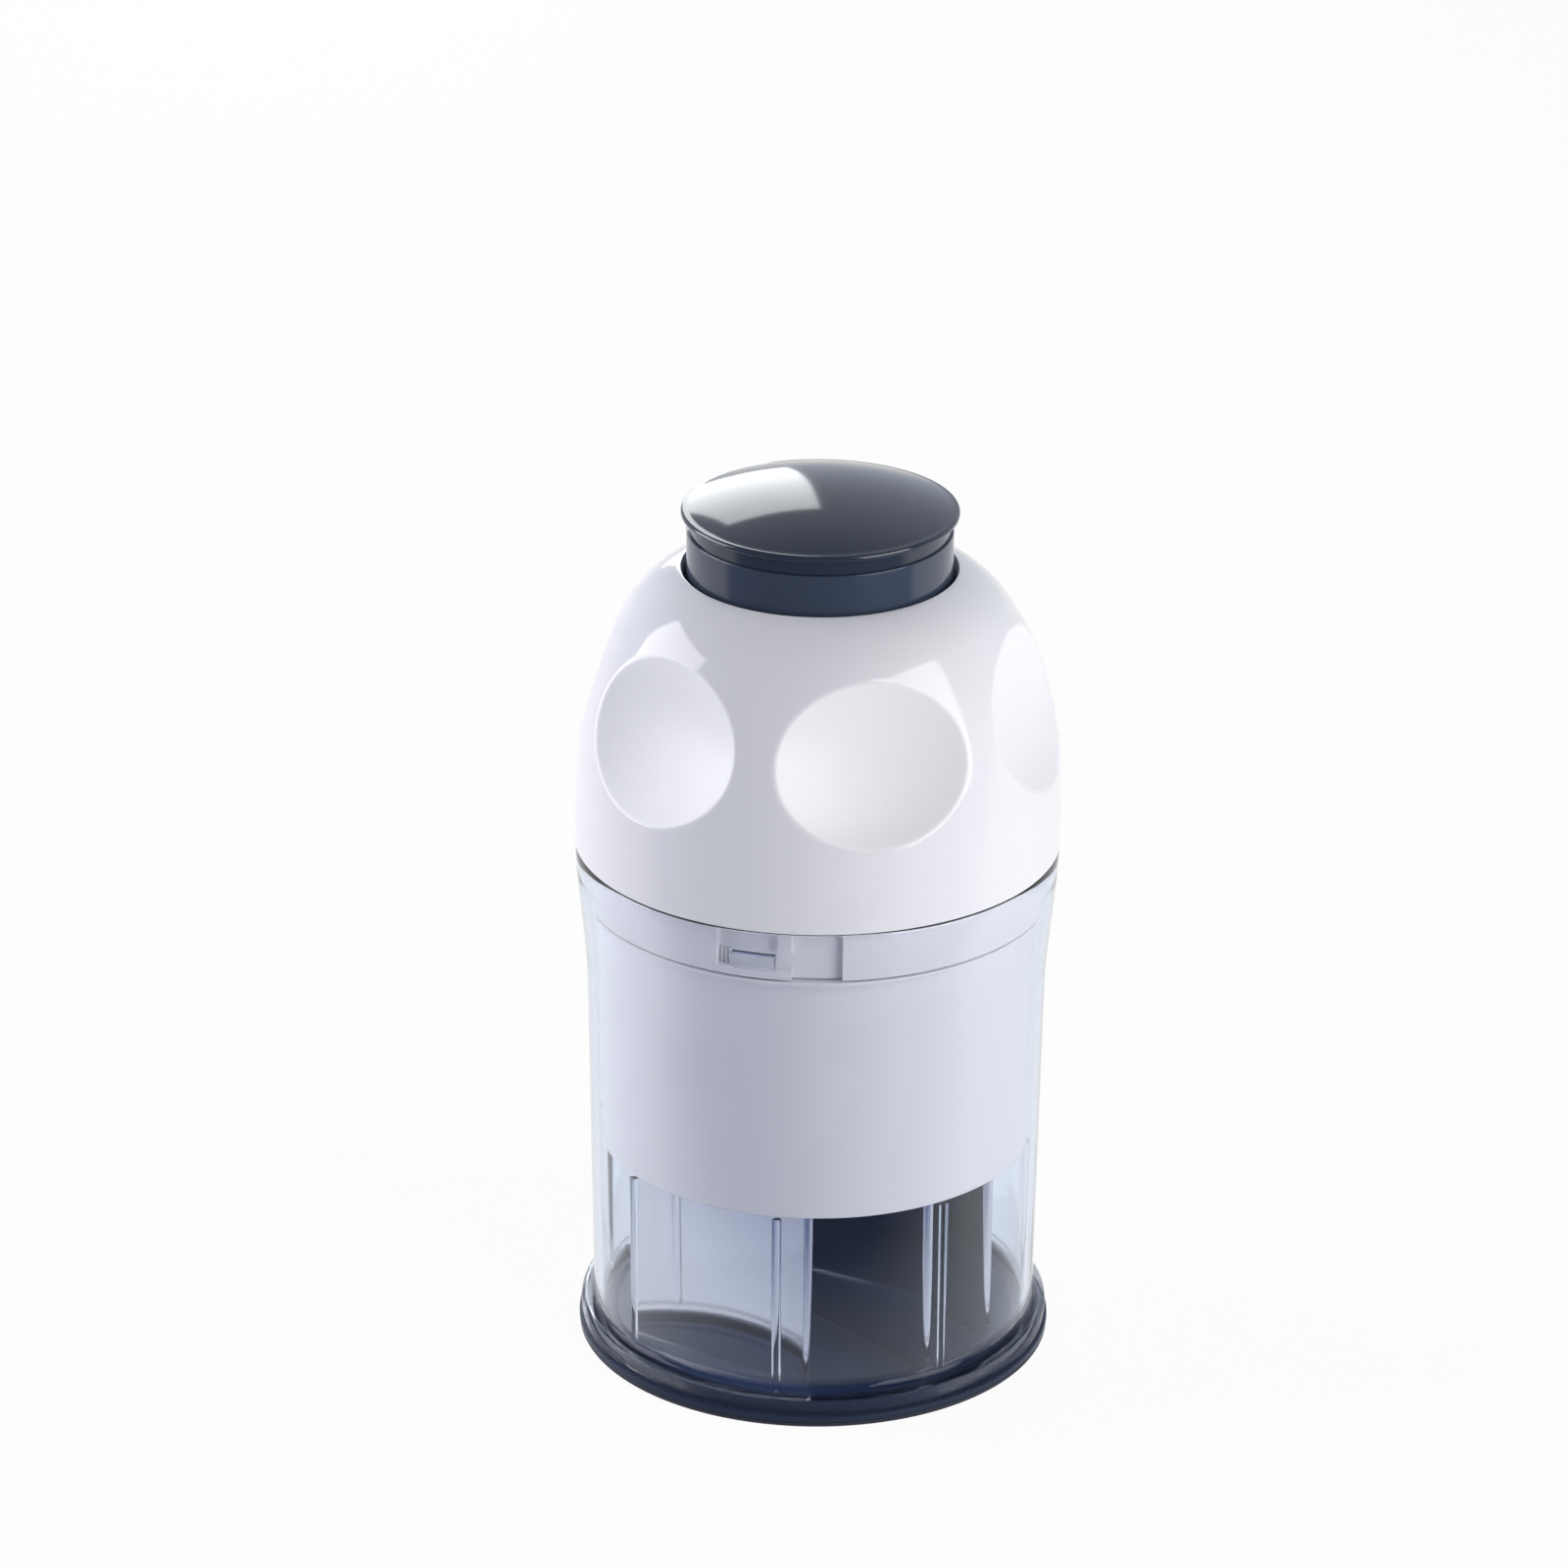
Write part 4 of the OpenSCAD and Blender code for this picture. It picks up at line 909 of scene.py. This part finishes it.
scooped = np.zeros((len(dome_azimuths), len(dome_outline)))
dome = turned("dome", dome_outline, dome_azimuths, dome_shape, 40)
dome.data.attributes.new("scooped", "FLOAT", "POINT").data.foreach_set("value", scooped.ravel())

# polished outside, with a fine satin grain in the dimples. The dimples' colour is also painted
# paler than the dome's: painted light that lifts the shade in their hollows
FACTOR = 2
white = Finish(bpy.data.materials.new("polished_white"))
flow, speckle = mould_marks(white.node("TexCoord")[OBJECT])
grip_and_painted_light = white.node("Attribute", {"attribute_name": "scooped"})[FACTOR]
plain = white.mix(flow, rgb(0.81, 0.81, 0.84), rgb(0.83, 0.83, 0.86))
# painted light: the same white plastic, coloured paler in the dimples so that their shaded hollows
# look brighter
dimple_colour_painted_paler = white.mix(speckle, rgb(0.86, 0.86, 0.88), rgb(0.89, 0.89, 0.91))
skin = bumped(speckle * (grip_and_painted_light * 0.9 + 0.1), 0.003, bumped(flow, 0.012))
surface = white.node("BsdfPrincipled", inputs={
    "Base Color": white.mix(grip_and_painted_light, plain, dimple_colour_painted_paler), "Roughness": grip_and_painted_light * 0.25 + 0.09, "Normal": skin})
white.node("OutputMaterial", inputs={"Surface": surface[0]})
dressed(dome, "head", "white_gloss_plastic", white.owner, "upper_housing")


# ---------- Skirt guide ring ----------
# A dark moulded ring fixed to the lower end of the housing's tube. It runs close round the
# knob's skirt and keeps it straight.

dress_node("skirt_guide_ring", anthracite)


# ---------- Knob skirt ----------
# The slate-grey sleeve under the cap, polished, 55.4 across. It slides in the housing and
# carries the stem on its inner plate.

skirt_low, skirt_high = box_mm("knob_skirt")
skirt_r = skirt_high.x
skirt_in_r = skirt_r - 1.8
inner_plate_z = skirt_high.z - 9.5
inner_plate_top_z = inner_plate_z + 2.5
boss_low_z = inner_plate_z - 8.5
boss_r = 9.2
stem_socket_r = 6.05
screw_hole_r = 1.75
skirt = turned("knob_sleeve", rounded([
    (skirt_in_r, skirt_low.z, 0.4), (skirt_r, skirt_low.z, 0.4), (skirt_r, skirt_high.z, 0.25),
    (skirt_in_r, skirt_high.z, 0.2), (skirt_in_r, inner_plate_top_z, 0.3),
    (screw_hole_r, inner_plate_top_z, 0.1), (screw_hole_r, inner_plate_z, 0),
    (stem_socket_r, inner_plate_z, 0), (stem_socket_r, boss_low_z, 0.2),
    (boss_r, boss_low_z, 0.3), (boss_r, inner_plate_z, 0.6), (skirt_in_r, inner_plate_z, 0.6)]))
slate = moulded("slate_gloss", (0.040, 0.054, 0.086), 0.12, 0.0006, 0.012)
dressed(skirt, "plunger", "slate_plastic", slate, "knob_skirt")


# ---------- Knob cap ----------
# The anthracite cap that the palm presses: a plain neck, a thin rounded lip and a low crown.
# It plugs into the skirt.

cap_low, cap_high = box_mm("knob_cap")
cap_r = cap_high.x
cap_wall = 2
neck_r = skirt_r - 0.5
neck_low_z = skirt_high.z + 0.05
lip_low_z = neck_low_z + 3.1
lip_h = 1.5
crown_edge_r = cap_r - 0.9
crown_rise = cap_high.z - lip_low_z - lip_h
crown_r = (crown_edge_r ** 2 + crown_rise ** 2) / (2 * crown_rise)
crown_centre_z = cap_high.z - crown_r
crown_points = [(r, crown_centre_z + math.sqrt(crown_r ** 2 - r ** 2))
                for r in np.linspace(crown_edge_r, 0, 40)]
plug_r = skirt_in_r - 0.05
hollow_r = plug_r - 1.8
hollow_top = crown_centre_z + math.sqrt((crown_r - cap_wall) ** 2 - hollow_r ** 2)
lip_rounding = lip_h * 0.48
cap = turned("knob_top", [
    *rounded([(hollow_r, cap_low.z, 0.3), (plug_r, cap_low.z, 0.3), (plug_r, neck_low_z, 0),
              (neck_r, neck_low_z, 0.15), (neck_r, lip_low_z, 0.3),
              (cap_r, lip_low_z, lip_rounding), (cap_r, lip_low_z + lip_h, lip_rounding),
              (crown_edge_r, lip_low_z + lip_h, 0)], 6)[:-1],
    *crown_points, (0, cap_high.z - cap_wall), (hollow_r, hollow_top)], sharp=50)
anthracite_gloss = moulded("anthracite_gloss", (0.022, 0.031, 0.050), 0.09, 0.0004, 0.010)
dressed(cap, "plunger", "anthracite_plastic", anthracite_gloss, "knob_cap")
